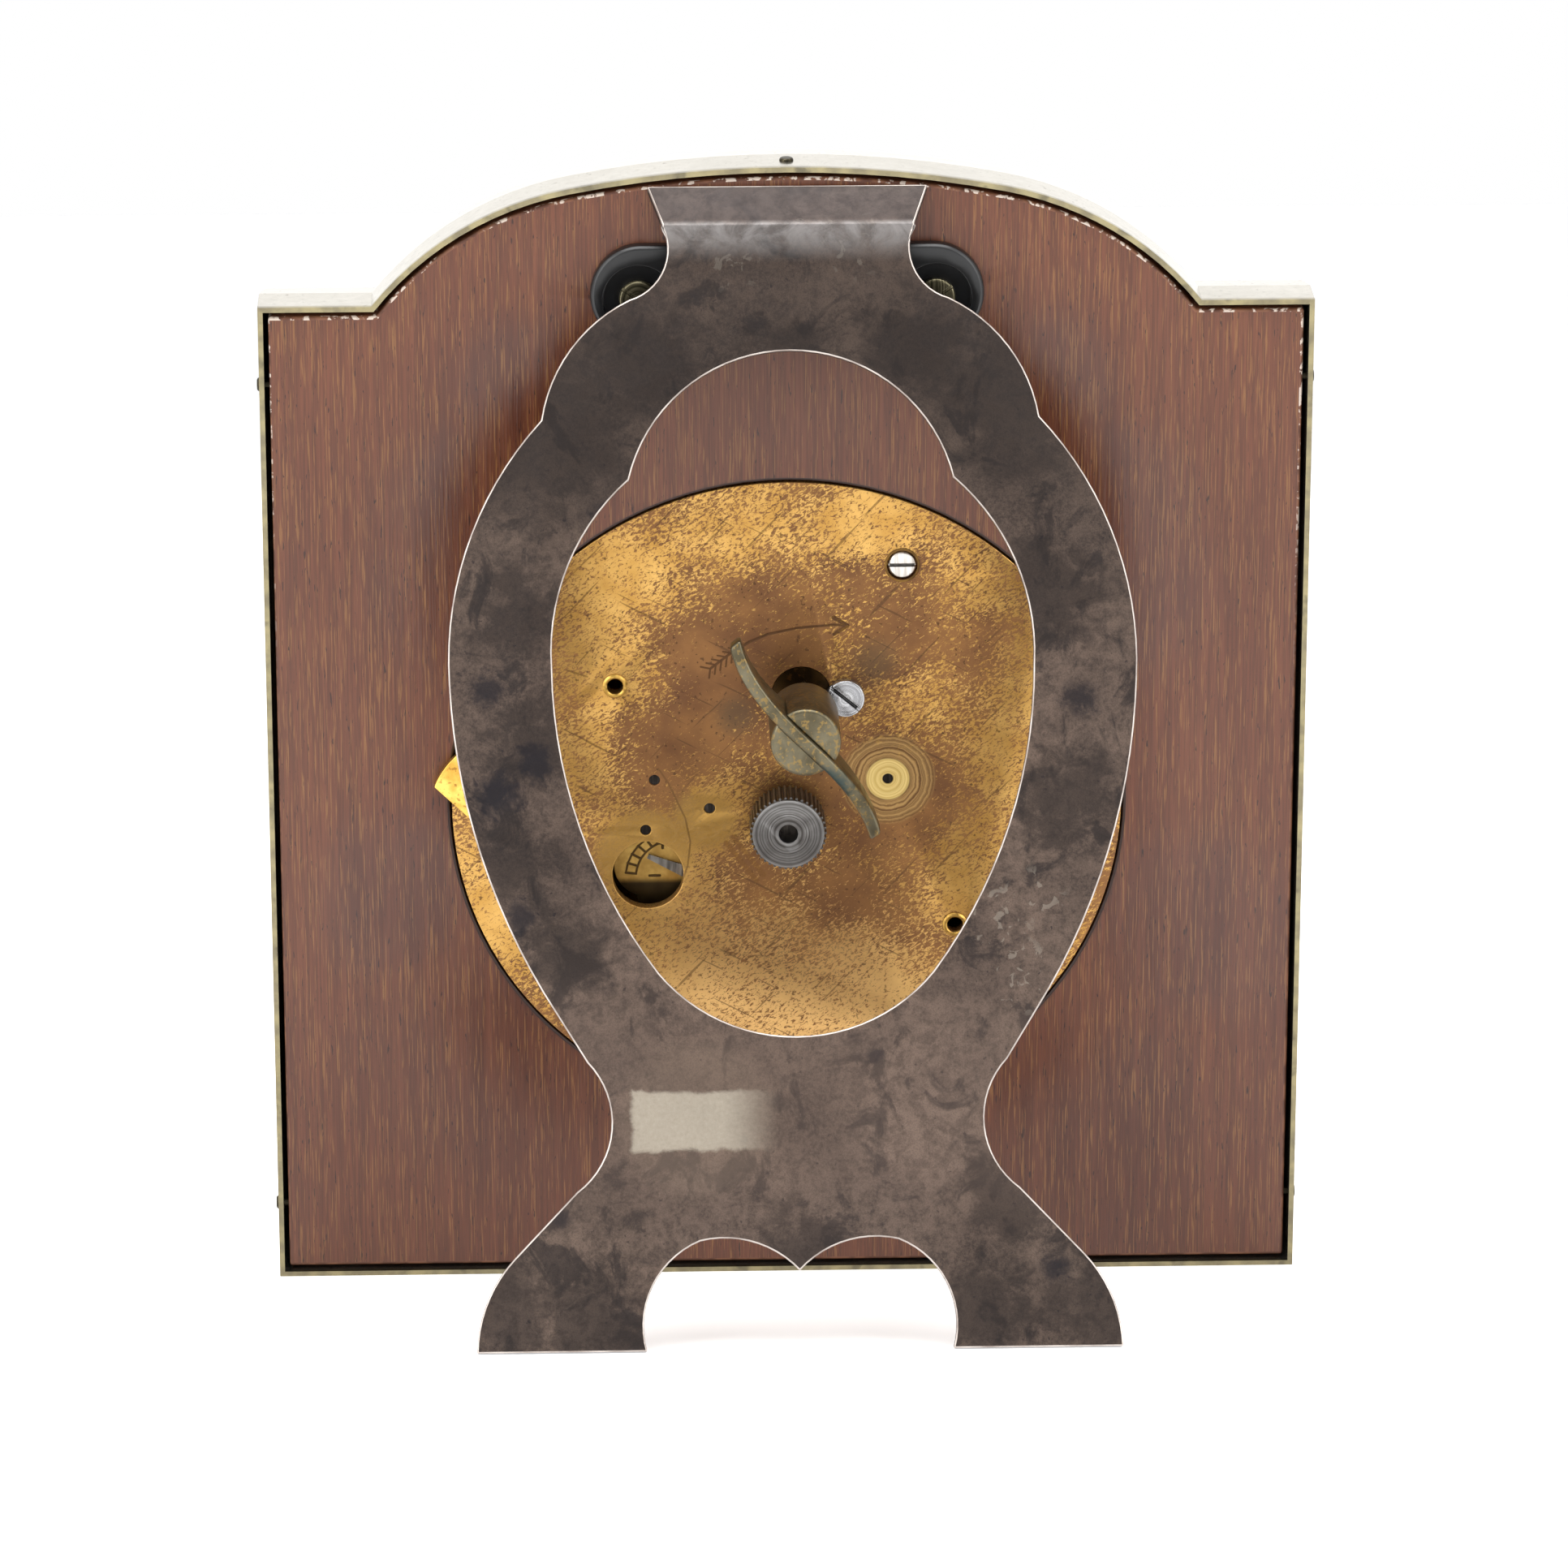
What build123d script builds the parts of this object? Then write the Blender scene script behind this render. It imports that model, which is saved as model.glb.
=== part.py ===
from build123d import *
from math import acos, atan2, ceil, cos, degrees, floor, hypot, radians, sin
import os

# Easel-back strut clock: arched silver front on a wooden back, eight-day lever movement, folding strut.
#
# The case is drawn upright with its back face on the XZ plane, +Y out of the back and +X to the
# left as seen from behind. It is then leaned back onto its strut, as it stands on a table.
# Depth is counted from the back face towards the dial, so a depth grows along -Y.
# Lengths are in millimetres, angles in degrees.

# Stance of the whole clock
LEAN = 13.4
STRUT_OPENING = 21.8

# Case outline, seen from behind
CASE_WIDTH = 101.6
SHOULDER_HEIGHT = 100.8
ARCH_RISE = 13.5
ARCH_TOP_RADIUS = 110.0
ARCH_SIDE_RADIUS = 32.0
ARCH_TURN = 11.0
ARCH_HEIGHT = SHOULDER_HEIGHT + ARCH_RISE

# Silver front
SILVER_THICKNESS = 0.5
SKIRT_DEPTH = 5.0
CASE_DEPTH = 14.5
CUSHION_INSET = 7.0
CUSHION_STEPS = 4
FRONT_OPENING_RADIUS = 28.6

# Wooden back
WOOD_GAP = 0.5
WOOD_RECESS = 0.3
WOOD_STRAIGHT_DEPTH = 5.2
WOOD_DEPTH = 10.5
WOOD_TAPER_INSET = 1.4
BORE_GAP = 0.15
LEDGE_WIDTH = 1.3

# Case pins: round-headed nails through the skirt into the wood
PIN_HEAD_RADIUS = 0.68
PIN_HEAD_HEIGHT = 0.3
PIN_SHANK_RADIUS = 0.35
PIN_LENGTH = 5.0
PIN_DEPTH = 2.6
PIN_ROUNDING = 0.24
PIN_HIGH = 92.4
PIN_LOW = 7.0

# Bezel and glass
BEZEL_INNER_RADIUS = 27.2
BEZEL_OUTER_RADIUS = 31.0
BEZEL_HEIGHT = 2.3
BEZEL_EDGE = 0.5
BEZEL_LIP = 1.0
BEZEL_NECK_DEPTH = 1.3
BEZEL_TOP_WIDTH = 1.6
GLASS_THICKNESS = 1.0
GLASS_RISE = 2.6
GLASS_SEAT = 0.6
GLASS_BULGE_SHARE = 0.7071

# Hinge plate on the wood and its pin
HINGE_PLATE_LENGTH = 37.8
HINGE_PLATE_WIDTH = 9.8
HINGE_PLATE_THICKNESS = 1.4
HINGE_PLATE_HEIGHT = 102.0
HINGE_PLATE_BEVEL = 0.3
HINGE_SCREW_SPACING = 28.6
HINGE_SCREW_HEIGHT = 101.6
HINGE_SCREW_HEAD_RADIUS = 1.85
HINGE_SCREW_LENGTH = 5.0
SCREW_SHANK_RADIUS = 0.7
HINGE_SINK_RADIUS = 3.4
HINGE_SINK_DEPTH = 0.6
HINGE_SLOT_ANGLE = 35.0
HINGE_PIN_HEIGHT = 104.5
HINGE_PIN_STANDOFF = 2.9
HINGE_PIN_RADIUS = 0.6
HINGE_PIN_HEAD_RADIUS = 1.1
HINGE_PIN_HEAD_LENGTH = 0.6
KNUCKLE_RADIUS = 1.4
PLATE_KNUCKLE_LENGTH = 4.0
STRUT_KNUCKLE_LENGTH = 8.4
KNUCKLE_GAP = 0.15

# Strut: one bent sheet, cut out so that the key and the knob stand inside its loop
STRUT_HALF_WIDTH = 32.7
STRUT_THICKNESS = 1.0
STRUT_STANDOFF = 2.4
STRUT_BEND_ABOVE_PIN = 4.4
LIP_TURN = 28.4
LIP_HALF_WIDTH = 13.4
LIP_GAP = 0.1

# Outer edge of one half of the strut, foot to neck, as shares of its half width and of its length.
# A row of one point is a straight edge to it, a row of two is an arc through the first to the second.
STRUT_FOOT_SHARES = (0.936, 0.0)
STRUT_EDGE_SHARES = [
    [(0.911, 0.041), (0.826, 0.083)],
    [(0.642, 0.142)],
    [(0.541, 0.199), (0.609, 0.256)],
    [(0.734, 0.318)],
    [(0.933, 0.462), (1.000, 0.594)],
    [(0.948, 0.713), (0.725, 0.828)],
    [(0.657, 0.883), (0.465, 0.935)],
    [(0.353, 0.979), (0.367, 1.000)],
]
# Opening of the loop: from the notch down the side to the bottom, and the crown above the notch
LOOP_NOTCH_SHARES = (0.471, 0.774)
LOOP_EDGE_SHARES = [
    [(0.630, 0.711), (0.699, 0.608)],
    [(0.630, 0.473), (0.398, 0.335)],
    [(0.214, 0.292), (0.000, 0.278)],
]
LOOP_CROWN_SHARES = (0.0, 0.888)
# Scalloped arch between the two feet, from the toe up to the middle point
TOE_SHARES = (0.443, 0.0)
FOOT_ARCH_SHARES = [
    [(0.428, 0.056), (0.287, 0.097)],
    [(0.128, 0.095), (0.000, 0.070)],
]

# Movement plates
PLATE_RADIUS = 32.9
PLATE_CENTRE_HEIGHT = 49.85
DIAL_DROP = 1.65
DIAL_CENTRE_HEIGHT = PLATE_CENTRE_HEIGHT - DIAL_DROP
PLATE_THICKNESS = 1.4
PLATE_SPACING = 7.6
FRONT_PLATE_RADIUS = 31.2
PILLAR_CIRCLE_RADIUS = 26.8
PILLAR_ANGLE = 114.7
PILLAR_COUNT = 3
PILLAR_RADIUS = 2.0
PILLAR_SCREW_HEAD_RADIUS = 1.35
PILLAR_SCREW_LENGTH = 3.0
SPARE_HOLE_RADIUS = 0.8
SPARE_HOLE_PLACES = [(16.8, 12.2), (-16.6, -13.0)]
SCREW_HEAD_THICKNESS = 0.6
SCREW_SLOT_WIDTH = 0.3
SCREW_SLOT_DEPTH = 0.3

# Axes in the movement, from the centre of the plate
CENTRE_PLACE = (0.0, -DIAL_DROP)
BARREL_PLACE = (-1.4, 11.1)
INTERMEDIATE_PLACE = (-9.9, 2.3)
THIRD_PLACE = (7.6, -0.6)
FOURTH_PLACE = (13.0, 2.4)
ESCAPE_PLACE = (13.9, -2.8)
PALLET_PLACE = (11.35, -5.3)
BALANCE_PLACE = (7.1, -9.4)
CLICK_PLACE = (-5.7, 10.9)

# Pivots and the holes that carry them
PIVOT_RADIUS = 0.5
CENTRE_PIPE_RADIUS = 1.2
ARBOR_RADIUS = 0.7
PIVOT_CLEARANCE = 0.03
END_SHAKE = 0.15
LEVEL_GAP = 0.25

# Tooth counts of the train
BARREL_TEETH = 72
INTERMEDIATE_PINION_TEETH = 14
INTERMEDIATE_TEETH = 60
CENTRE_PINION_TEETH = 10
CENTRE_TEETH = 64
THIRD_PINION_TEETH = 8
THIRD_TEETH = 60
FOURTH_PINION_TEETH = 8
FOURTH_TEETH = 60
ESCAPE_PINION_TEETH = 8
ESCAPE_TEETH = 15
CANNON_TEETH = 12
MINUTE_TEETH = 36
MINUTE_PINION_TEETH = 10
HOUR_TEETH = 40
RATCHET_TEETH = 24
WHEEL_THICKNESS = 0.4
PINION_LENGTH = 0.9
TOOTH_HEIGHT_SHARE = 0.5
TOOTH_ROOT_SHARE = 0.6
TOOTH_ROOT_WIDTH_SHARE = 0.38
TOOTH_TIP_WIDTH_SHARE = 0.14
WHEEL_RIM_SHARE = 0.80
WHEEL_HUB_SHARE = 0.26
WHEEL_ARM_SHARE = 0.12
WHEEL_ARMS = 4

# Barrel, ratchet and winding
BARREL_HEIGHT = 4.9
BARREL_WALL = 0.7
BARREL_COVER_THICKNESS = 0.5
MAINSPRING_TURNS = 5
MAINSPRING_THICKNESS = 0.3
WINDING_HOLE_RADIUS = 2.9
WINDING_ARBOR_RADIUS = 1.6
WINDING_SQUARE = 2.2
WINDING_SQUARE_END = 9.2
RATCHET_RADIUS = 2.7
RATCHET_THICKNESS = 0.5
RATCHET_TOOTH = 0.35
CLICK_SCREW_HEAD_RADIUS = 1.9
CLICK_SCREW_HEAD_THICKNESS = 0.9
CLICK_SCREW_SHANK_RADIUS = 0.8
CLICK_RADIUS = 1.2
CLICK_REST_TURN = 40.0
CLICK_BLADE_SHARE = 0.9
CLICK_DEPTH_SHARE = 0.4
CLICK_LAG_SHARE = 0.2
CLICK_SLOT_ANGLE = 40.0
CLICK_SPRING_THICKNESS = 0.25
CLICK_SPRING_TURN = 150.0

# Key: a turned pipe with a slotted end that holds a flat wing
KEY_PIPE_RADIUS = 3.4
KEY_PIPE_START = 5.6
KEY_PIPE_END = 14.0
KEY_CHAMFER = 0.25
KEY_ANGLE = 55.6
KEY_WING_SPAN = 24.0
KEY_WING_THICKNESS = 1.3
KEY_WING_TOP = 14.6
KEY_WING_HEIGHT = 5.2
KEY_WING_TIP_SHARE = 0.55
KEY_WING_SWAY = 0.9
KEY_WING_SWAY_SHARE = 0.6

# Setting knob
KNOB_RADIUS = 3.75
KNOB_START = 0.6
KNOB_HEIGHT = 3.8
KNOB_RIBS = 42
KNOB_RIB_DEPTH = 0.22
KNOB_RIB_ROOT_SHARE = 0.6
KNOB_RIB_TOP_SHARE = 0.36
KNOB_HOLE_RADIUS = 0.95
KNOB_HOLE_DEPTH = 2.4
KNOB_CHAMFER = 0.15

# Dog that holds the movement in the wood
DOG_THICKNESS = 0.9
DOG_PIVOT = (28.2, 2.0)
DOG_TIP = (34.6, 2.2)
DOG_BACK_EDGE = [(32.5, 5.35), (28.6, 7.4)]
DOG_EYE_EDGE = [(24.9, 2.9), (31.0, -1.3)]
DOG_SCREW_RADIUS = 1.8
DOG_SLOT_ANGLE = 20.0

# Regulator window, balance cock and index
WINDOW_PLACE = (13.7, -7.5)
WINDOW_RADIUS = 3.5
COCK_RADIUS = 7.8
COCK_BOSS_RADIUS = 0.9
COCK_THICKNESS = 0.7
COCK_FOOT_ANGLE = -40.0
COCK_FOOT_REACH = 10.2
COCK_FOOT_RADIUS = 2.0
COCK_SCREW_HEAD_RADIUS = 1.2
COCK_SLOT_ANGLE = 30.0
INDEX_LENGTH = 7.2
INDEX_WIDTH = 0.9
INDEX_THICKNESS = 0.25
INDEX_RING_RADIUS = 1.7
INDEX_ANGLE = 24.0

# Escapement
ESCAPE_RADIUS = 2.5
ESCAPE_TOOTH = 0.7
ESCAPE_TIP_SHARE = 0.25
ESCAPE_HEEL_SHARE = 0.1
ESCAPE_ROOT_SHARE = 0.35
PALLET_SPAN = 2.3
PALLET_HUB_WALL = 0.2
LEVER_WIDTH = 0.6
LEVER_HORN = 0.7
ANCHOR_WIDTH = 0.9
FORK_WIDTH = 1.8
ROLLER_RADIUS = 1.1
BALANCE_RADIUS = 6.4
BALANCE_RIM = 0.7
BALANCE_THICKNESS = 0.7
HAIRSPRING_TURNS = 6
HAIRSPRING_INNER_RADIUS = 1.0
HAIRSPRING_OUTER_RADIUS = 3.7
HAIRSPRING_THICKNESS = 0.12
HAIRSPRING_HEIGHT = 0.3
STUD_RADIUS = 0.4

# Dial, motion work and hands
DIAL_RADIUS = 29.2
DIAL_THICKNESS = 0.5
DIAL_GAP = 1.7
DIAL_FOOT_RADIUS = 0.6
DIAL_FOOT_PLACE = 21.0
DIAL_HOLE_RADIUS = 2.0
CANNON_RADIUS = 0.95
MINUTE_WHEEL_DISTANCE = 5.1
MINUTE_WHEEL_ANGLE = 205.0
HOUR_PIPE_RADIUS = 1.5
HOUR_HAND_LENGTH = 16.0
MINUTE_HAND_LENGTH = 23.5
HAND_WIDTH = 1.6
HAND_TIP_WIDTH = 0.3
HAND_THICKNESS = 0.3
HAND_EYE_RADIUS = 2.2
HAND_GAP = 0.5
HAND_LEAF_SHARE = 0.72
HAND_NECK_SHARE = 0.58
HOUR_HAND_ANGLE = 65.0
MINUTE_HAND_ANGLE = -50.0
HAND_NUT_RADIUS = 1.5
HAND_NUT_THICKNESS = 0.6

OVERRUN = 1.0

# Depths worked out from the sizes above
PLATE_FACE = WOOD_RECESS
PLATE_INSIDE = PLATE_FACE + PLATE_THICKNESS
FRONT_PLATE_FACE = PLATE_INSIDE + PLATE_SPACING
FRONT_PLATE_OUTSIDE = FRONT_PLATE_FACE + PLATE_THICKNESS
DIAL_BACK = FRONT_PLATE_OUTSIDE + DIAL_GAP
DIAL_FRONT = DIAL_BACK + DIAL_THICKNESS
RATCHET_LEVEL = PLATE_INSIDE + END_SHAKE
INTERMEDIATE_LEVEL = RATCHET_LEVEL + RATCHET_THICKNESS + LEVEL_GAP
BARREL_LEVEL = INTERMEDIATE_LEVEL + WHEEL_THICKNESS + LEVEL_GAP
BARREL_TOOTH_LEVEL = BARREL_LEVEL + BARREL_HEIGHT - WHEEL_THICKNESS
CENTRE_LEVEL = FRONT_PLATE_FACE - LEVEL_GAP - WHEEL_THICKNESS
THIRD_LEVEL = RATCHET_LEVEL + LEVEL_GAP
INDEX_LEVEL = INTERMEDIATE_LEVEL + LEVEL_GAP
COCK_LEVEL = INDEX_LEVEL + INDEX_THICKNESS
HAIRSPRING_LEVEL = COCK_LEVEL + COCK_THICKNESS + LEVEL_GAP
BALANCE_LEVEL = HAIRSPRING_LEVEL + HAIRSPRING_HEIGHT + LEVEL_GAP
LEVER_LEVEL = BALANCE_LEVEL + BALANCE_THICKNESS + LEVEL_GAP + WHEEL_THICKNESS
FOURTH_LEVEL = LEVER_LEVEL + WHEEL_THICKNESS + LEVEL_GAP


def plate_point(place):
    """A place measured from the plate's centre, in the case's X and Z."""
    return (place[0], place[1] + PLATE_CENTRE_HEIGHT)


def at_depth(depth):
    """Drawing plane parallel to the back face, at a depth towards the dial."""
    return Plane.XZ.offset(depth)


def slab(sketch, near, far):
    """Extrude a sketch drawn in X and Z from one depth to another."""
    return extrude(at_depth(near) * sketch, far - near)


def rod(centre, radius, near, far):
    """Round bar along the depth axis."""
    return slab(Pos(*centre) * Circle(radius), near, far)


def ring(centre, outer, inner, near, far):
    """Round bar with a bore right through it."""
    bore = rod(centre, inner, near - OVERRUN, far + OVERRUN)
    return rod(centre, outer, near, far) - bore


def polar(radius, angle):
    """Point at a radius and an angle in degrees."""
    return (radius * cos(radians(angle)), radius * sin(radians(angle)))


def shifted(point, offset):
    """Sum of two plane points."""
    return (point[0] + offset[0], point[1] + offset[1])


def distance(first, second):
    """Distance between two plane points."""
    return hypot(second[0] - first[0], second[1] - first[1])


def heading(first, second):
    """Direction from one plane point to another, in degrees."""
    return degrees(atan2(second[1] - first[1], second[0] - first[0]))


def mirrored(points):
    """The same points on the other side of the middle line."""
    return [(-x, y) for x, y in points]


def group(solids):
    """Several separate solids that share one node."""
    return Part() + [part.solid() for part in solids]


def slotted_head(centre, radius, near, far, angle):
    """Flat screw head whose outer face is at the near depth, with a driver slot."""
    head = rod(centre, radius, near, far)
    head = chamfer(head.edges().filter_by(GeomType.CIRCLE).sort_by(Axis.Y)[-1], SCREW_SLOT_DEPTH / 2)
    slot = Pos(*centre) * Rot(0, 0, angle) * Rectangle(2 * radius + OVERRUN, SCREW_SLOT_WIDTH)
    return head - slab(slot, near - OVERRUN, near + SCREW_SLOT_DEPTH)


# Case


def case_outline(inset):
    """Arched outline of the case, drawn in by an equal inset all round."""
    half = CASE_WIDTH / 2 - inset
    shoulder = SHOULDER_HEIGHT - inset
    top_radius = ARCH_TOP_RADIUS - inset
    side_radius = ARCH_SIDE_RADIUS - inset
    top_centre = (0.0, ARCH_HEIGHT - ARCH_TOP_RADIUS)
    side_centre = shifted(top_centre, polar(ARCH_TOP_RADIUS - ARCH_SIDE_RADIUS, 90 - ARCH_TURN))
    valley_turn = degrees(acos((shoulder - side_centre[1]) / side_radius))
    middle_turn = (ARCH_TURN + valley_turn) / 2
    join = shifted(side_centre, polar(side_radius, 90 - ARCH_TURN))
    flank = shifted(side_centre, polar(side_radius, 90 - middle_turn))
    valley = shifted(side_centre, polar(side_radius, 90 - valley_turn))
    crown = (0.0, ARCH_HEIGHT - inset)
    right = [(half, inset), (half, shoulder), valley]
    left = mirrored(right)
    edges = [
        Polyline(left[2], left[1], left[0], right[0], right[1], right[2]),
        ThreePointArc(valley, flank, join),
        ThreePointArc(join, crown, mirrored([join])[0]),
        ThreePointArc(*mirrored([join, flank, valley])),
    ]
    return make_face(Curve() + edges)


def cushion_body(inset):
    """Skirt and rounded front of the case as one solid, drawn in by an inset."""
    depth = CASE_DEPTH - inset
    body = slab(case_outline(inset), 0, SKIRT_DEPTH)
    sections = []
    for step in range(CUSHION_STEPS + 1):
        turn = radians(90 * step / CUSHION_STEPS)
        section_inset = inset + CUSHION_INSET * (1 - cos(turn))
        section_depth = SKIRT_DEPTH + (depth - SKIRT_DEPTH) * sin(turn)
        sections.append(at_depth(section_depth) * case_outline(section_inset))
    for lower, upper in zip(sections, sections[1:]):
        body += loft([lower, upper], ruled=True)
    return body


def pin_stations():
    """Outer end and inward direction of each case pin, in X and Z."""
    half = CASE_WIDTH / 2
    stations = [((0.0, ARCH_HEIGHT), (0.0, -1.0))]
    for height in (PIN_HIGH, PIN_LOW):
        stations.append(((half, height), (-1.0, 0.0)))
        stations.append(((-half, height), (1.0, 0.0)))
    return stations


def pin_bar(station, radius, start, length):
    """Round bar along one pin's line, from a start inside or outside the skirt."""
    (x, z), (dx, dz) = station
    origin = (x + dx * start, -PIN_DEPTH, z + dz * start)
    return extrude(Plane(origin, z_dir=(dx, 0, dz)) * Circle(radius), length)


def pin_holes(solid):
    """The same solid with a hole for each case pin."""
    for station in pin_stations():
        length = PIN_LENGTH + 2 * OVERRUN
        solid -= pin_bar(station, PIN_SHANK_RADIUS + PIVOT_CLEARANCE, -OVERRUN, length)
    return solid


def make_silver_front():
    shell = cushion_body(0.0) - cushion_body(SILVER_THICKNESS)
    shell -= slab(case_outline(SILVER_THICKNESS), -OVERRUN, SKIRT_DEPTH)
    centre = (0.0, DIAL_CENTRE_HEIGHT)
    shell -= rod(centre, FRONT_OPENING_RADIUS, SKIRT_DEPTH, CASE_DEPTH + OVERRUN)
    return pin_holes(shell)


def make_wooden_back():
    inset = SILVER_THICKNESS + WOOD_GAP
    block = slab(case_outline(inset), WOOD_RECESS, WOOD_STRAIGHT_DEPTH)
    wide = at_depth(WOOD_STRAIGHT_DEPTH) * case_outline(inset)
    narrow = at_depth(WOOD_DEPTH) * case_outline(inset + WOOD_TAPER_INSET)
    block += loft([wide, narrow], ruled=True)
    centre = (0.0, PLATE_CENTRE_HEIGHT)
    block -= rod(centre, PLATE_RADIUS + BORE_GAP, -OVERRUN, PLATE_INSIDE)
    block -= rod(centre, PLATE_RADIUS - LEDGE_WIDTH, 0, WOOD_DEPTH + OVERRUN)
    for side in (-1, 1):
        hole = (side * HINGE_SCREW_SPACING / 2, HINGE_SCREW_HEIGHT)
        block -= rod(hole, SCREW_SHANK_RADIUS + PIVOT_CLEARANCE, 0, HINGE_SCREW_LENGTH + END_SHAKE)
    return pin_holes(block)


def make_case_pins():
    pins = []
    for station in pin_stations():
        shank = pin_bar(station, PIN_SHANK_RADIUS, 0, PIN_LENGTH)
        head = pin_bar(station, PIN_HEAD_RADIUS, -PIN_HEAD_HEIGHT, PIN_HEAD_HEIGHT)
        rim = head.edges().sort_by(lambda edge: distance_from_axis(edge, station))[0]
        pins.append(fillet(rim, PIN_ROUNDING) + shank)
    return group(pins)


def distance_from_axis(edge, station):
    """How far inside the skirt an edge's centre lies, along its pin's line."""
    (x, z), (dx, dz) = station
    centre = edge.center()
    return (centre.X - x) * dx + (centre.Z - z) * dz


def make_front_bezel():
    neck = FRONT_OPENING_RADIUS - BORE_GAP
    glass_edge = BEZEL_INNER_RADIUS + GLASS_SEAT
    top = CASE_DEPTH + BEZEL_HEIGHT
    crown = top - BEZEL_LIP
    start = CASE_DEPTH - BEZEL_NECK_DEPTH
    edge = CASE_DEPTH + BEZEL_EDGE
    shoulder = (BEZEL_INNER_RADIUS + BEZEL_TOP_WIDTH, top)
    bulge = (BEZEL_OUTER_RADIUS - BEZEL_EDGE / 2, (edge + top) / 2 + BEZEL_EDGE / 2)
    profile = Polyline(
        shoulder,
        (BEZEL_INNER_RADIUS, top),
        (BEZEL_INNER_RADIUS, crown),
        (glass_edge, crown),
        (glass_edge, start),
        (neck, start),
        (neck, CASE_DEPTH),
        (BEZEL_OUTER_RADIUS, CASE_DEPTH),
        (BEZEL_OUTER_RADIUS, edge),
    )
    rounding = ThreePointArc((BEZEL_OUTER_RADIUS, edge), bulge, shoulder)
    return turned(make_face(Curve() + [profile, rounding]))


def turned(profile):
    """Revolve a profile of radius and depth about the dial's axis."""
    plane = Plane((0, 0, DIAL_CENTRE_HEIGHT), x_dir=(1, 0, 0), z_dir=(0, 0, 1))
    flipped = plane * mirror(profile, Plane.XZ)
    return revolve(flipped, Axis((0, 0, DIAL_CENTRE_HEIGHT), (0, 1, 0)), 360)


def make_dial_glass():
    edge = BEZEL_INNER_RADIUS + GLASS_SEAT - PIVOT_CLEARANCE
    seat = CASE_DEPTH + BEZEL_HEIGHT - BEZEL_LIP - GLASS_THICKNESS
    rim = seat + GLASS_THICKNESS
    dome = BEZEL_INNER_RADIUS - PIVOT_CLEARANCE
    outer_middle = (dome * GLASS_BULGE_SHARE, rim + GLASS_RISE / 2)
    inner_middle = (dome * GLASS_BULGE_SHARE, seat + GLASS_RISE / 2)
    lines = [
        Line((0, seat + GLASS_RISE), (0, rim + GLASS_RISE)),
        ThreePointArc((0, rim + GLASS_RISE), outer_middle, (dome, rim)),
        Line((dome, rim), (dome, seat)),
        ThreePointArc((dome, seat), inner_middle, (0, seat + GLASS_RISE)),
    ]
    flange = ring((0.0, DIAL_CENTRE_HEIGHT), edge, dome, seat, rim)
    return turned(make_face(Curve() + lines)) + flange


# Strut and its hinge


def bar_along_x(radius, start, end):
    """Round bar along X on the hinge pin's line."""
    plane = Plane((start, HINGE_PIN_STANDOFF, HINGE_PIN_HEIGHT), x_dir=(0, 1, 0), z_dir=(1, 0, 0))
    return extrude(plane * Circle(radius), end - start)


def make_hinge_plate():
    length = HINGE_PLATE_LENGTH - HINGE_PLATE_WIDTH
    outline = Pos(0, HINGE_PLATE_HEIGHT) * SlotCenterToCenter(length, HINGE_PLATE_WIDTH)
    outside = WOOD_RECESS - HINGE_PLATE_THICKNESS
    plate = slab(outline, outside, WOOD_RECESS)
    plate = chamfer(plate.faces().sort_by(Axis.Y)[-1].edges(), HINGE_PLATE_BEVEL)
    for side in (-1, 1):
        centre = (side * HINGE_SCREW_SPACING / 2, HINGE_SCREW_HEIGHT)
        plate -= rod(centre, HINGE_SINK_RADIUS, outside - OVERRUN, outside + HINGE_SINK_DEPTH)
        plate -= rod(centre, SCREW_SHANK_RADIUS + PIVOT_CLEARANCE, -OVERRUN, OVERRUN)
    for side in (-1, 1):
        near = side * (STRUT_KNUCKLE_LENGTH / 2 + KNUCKLE_GAP)
        far = near + side * PLATE_KNUCKLE_LENGTH
        low, high = sorted((near, far))
        knuckle = bar_along_x(KNUCKLE_RADIUS, low, high)
        foot = Pos((low + high) / 2, HINGE_PIN_HEIGHT) * Rectangle(high - low, 2 * KNUCKLE_RADIUS)
        knuckle += slab(foot, -HINGE_PIN_STANDOFF, outside + HINGE_SINK_DEPTH)
        bore = HINGE_PIN_RADIUS + PIVOT_CLEARANCE
        plate += knuckle - bar_along_x(bore, low - OVERRUN, high + OVERRUN)
    return plate


def make_hinge_plate_screws():
    screws = []
    outside = WOOD_RECESS - HINGE_PLATE_THICKNESS
    seat = outside + HINGE_SINK_DEPTH
    for side in (-1, 1):
        centre = (side * HINGE_SCREW_SPACING / 2, HINGE_SCREW_HEIGHT)
        head = slotted_head(centre, HINGE_SCREW_HEAD_RADIUS, outside, seat, side * HINGE_SLOT_ANGLE)
        screws.append(head + rod(centre, SCREW_SHANK_RADIUS, seat, HINGE_SCREW_LENGTH))
    return group(screws)


def make_hinge_pin():
    reach = STRUT_KNUCKLE_LENGTH / 2 + KNUCKLE_GAP + PLATE_KNUCKLE_LENGTH + PIVOT_CLEARANCE
    pin = bar_along_x(HINGE_PIN_RADIUS, -reach, reach)
    pin += bar_along_x(HINGE_PIN_HEAD_RADIUS, reach, reach + HINGE_PIN_HEAD_LENGTH)
    return pin + bar_along_x(HINGE_PIN_HEAD_RADIUS, -reach - HINGE_PIN_HEAD_LENGTH, -reach)


def strut_plane():
    """Middle plane of the open strut: its origin on the pin's foot, local Y up along the strut."""
    turn = radians(STRUT_OPENING)
    up = Vector(0, -sin(turn), cos(turn))
    out = Vector(0, cos(turn), sin(turn))
    origin = Vector(0, HINGE_PIN_STANDOFF, HINGE_PIN_HEIGHT) + out * STRUT_STANDOFF
    return Plane(origin, x_dir=(-1, 0, 0), z_dir=out), up, out


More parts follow.
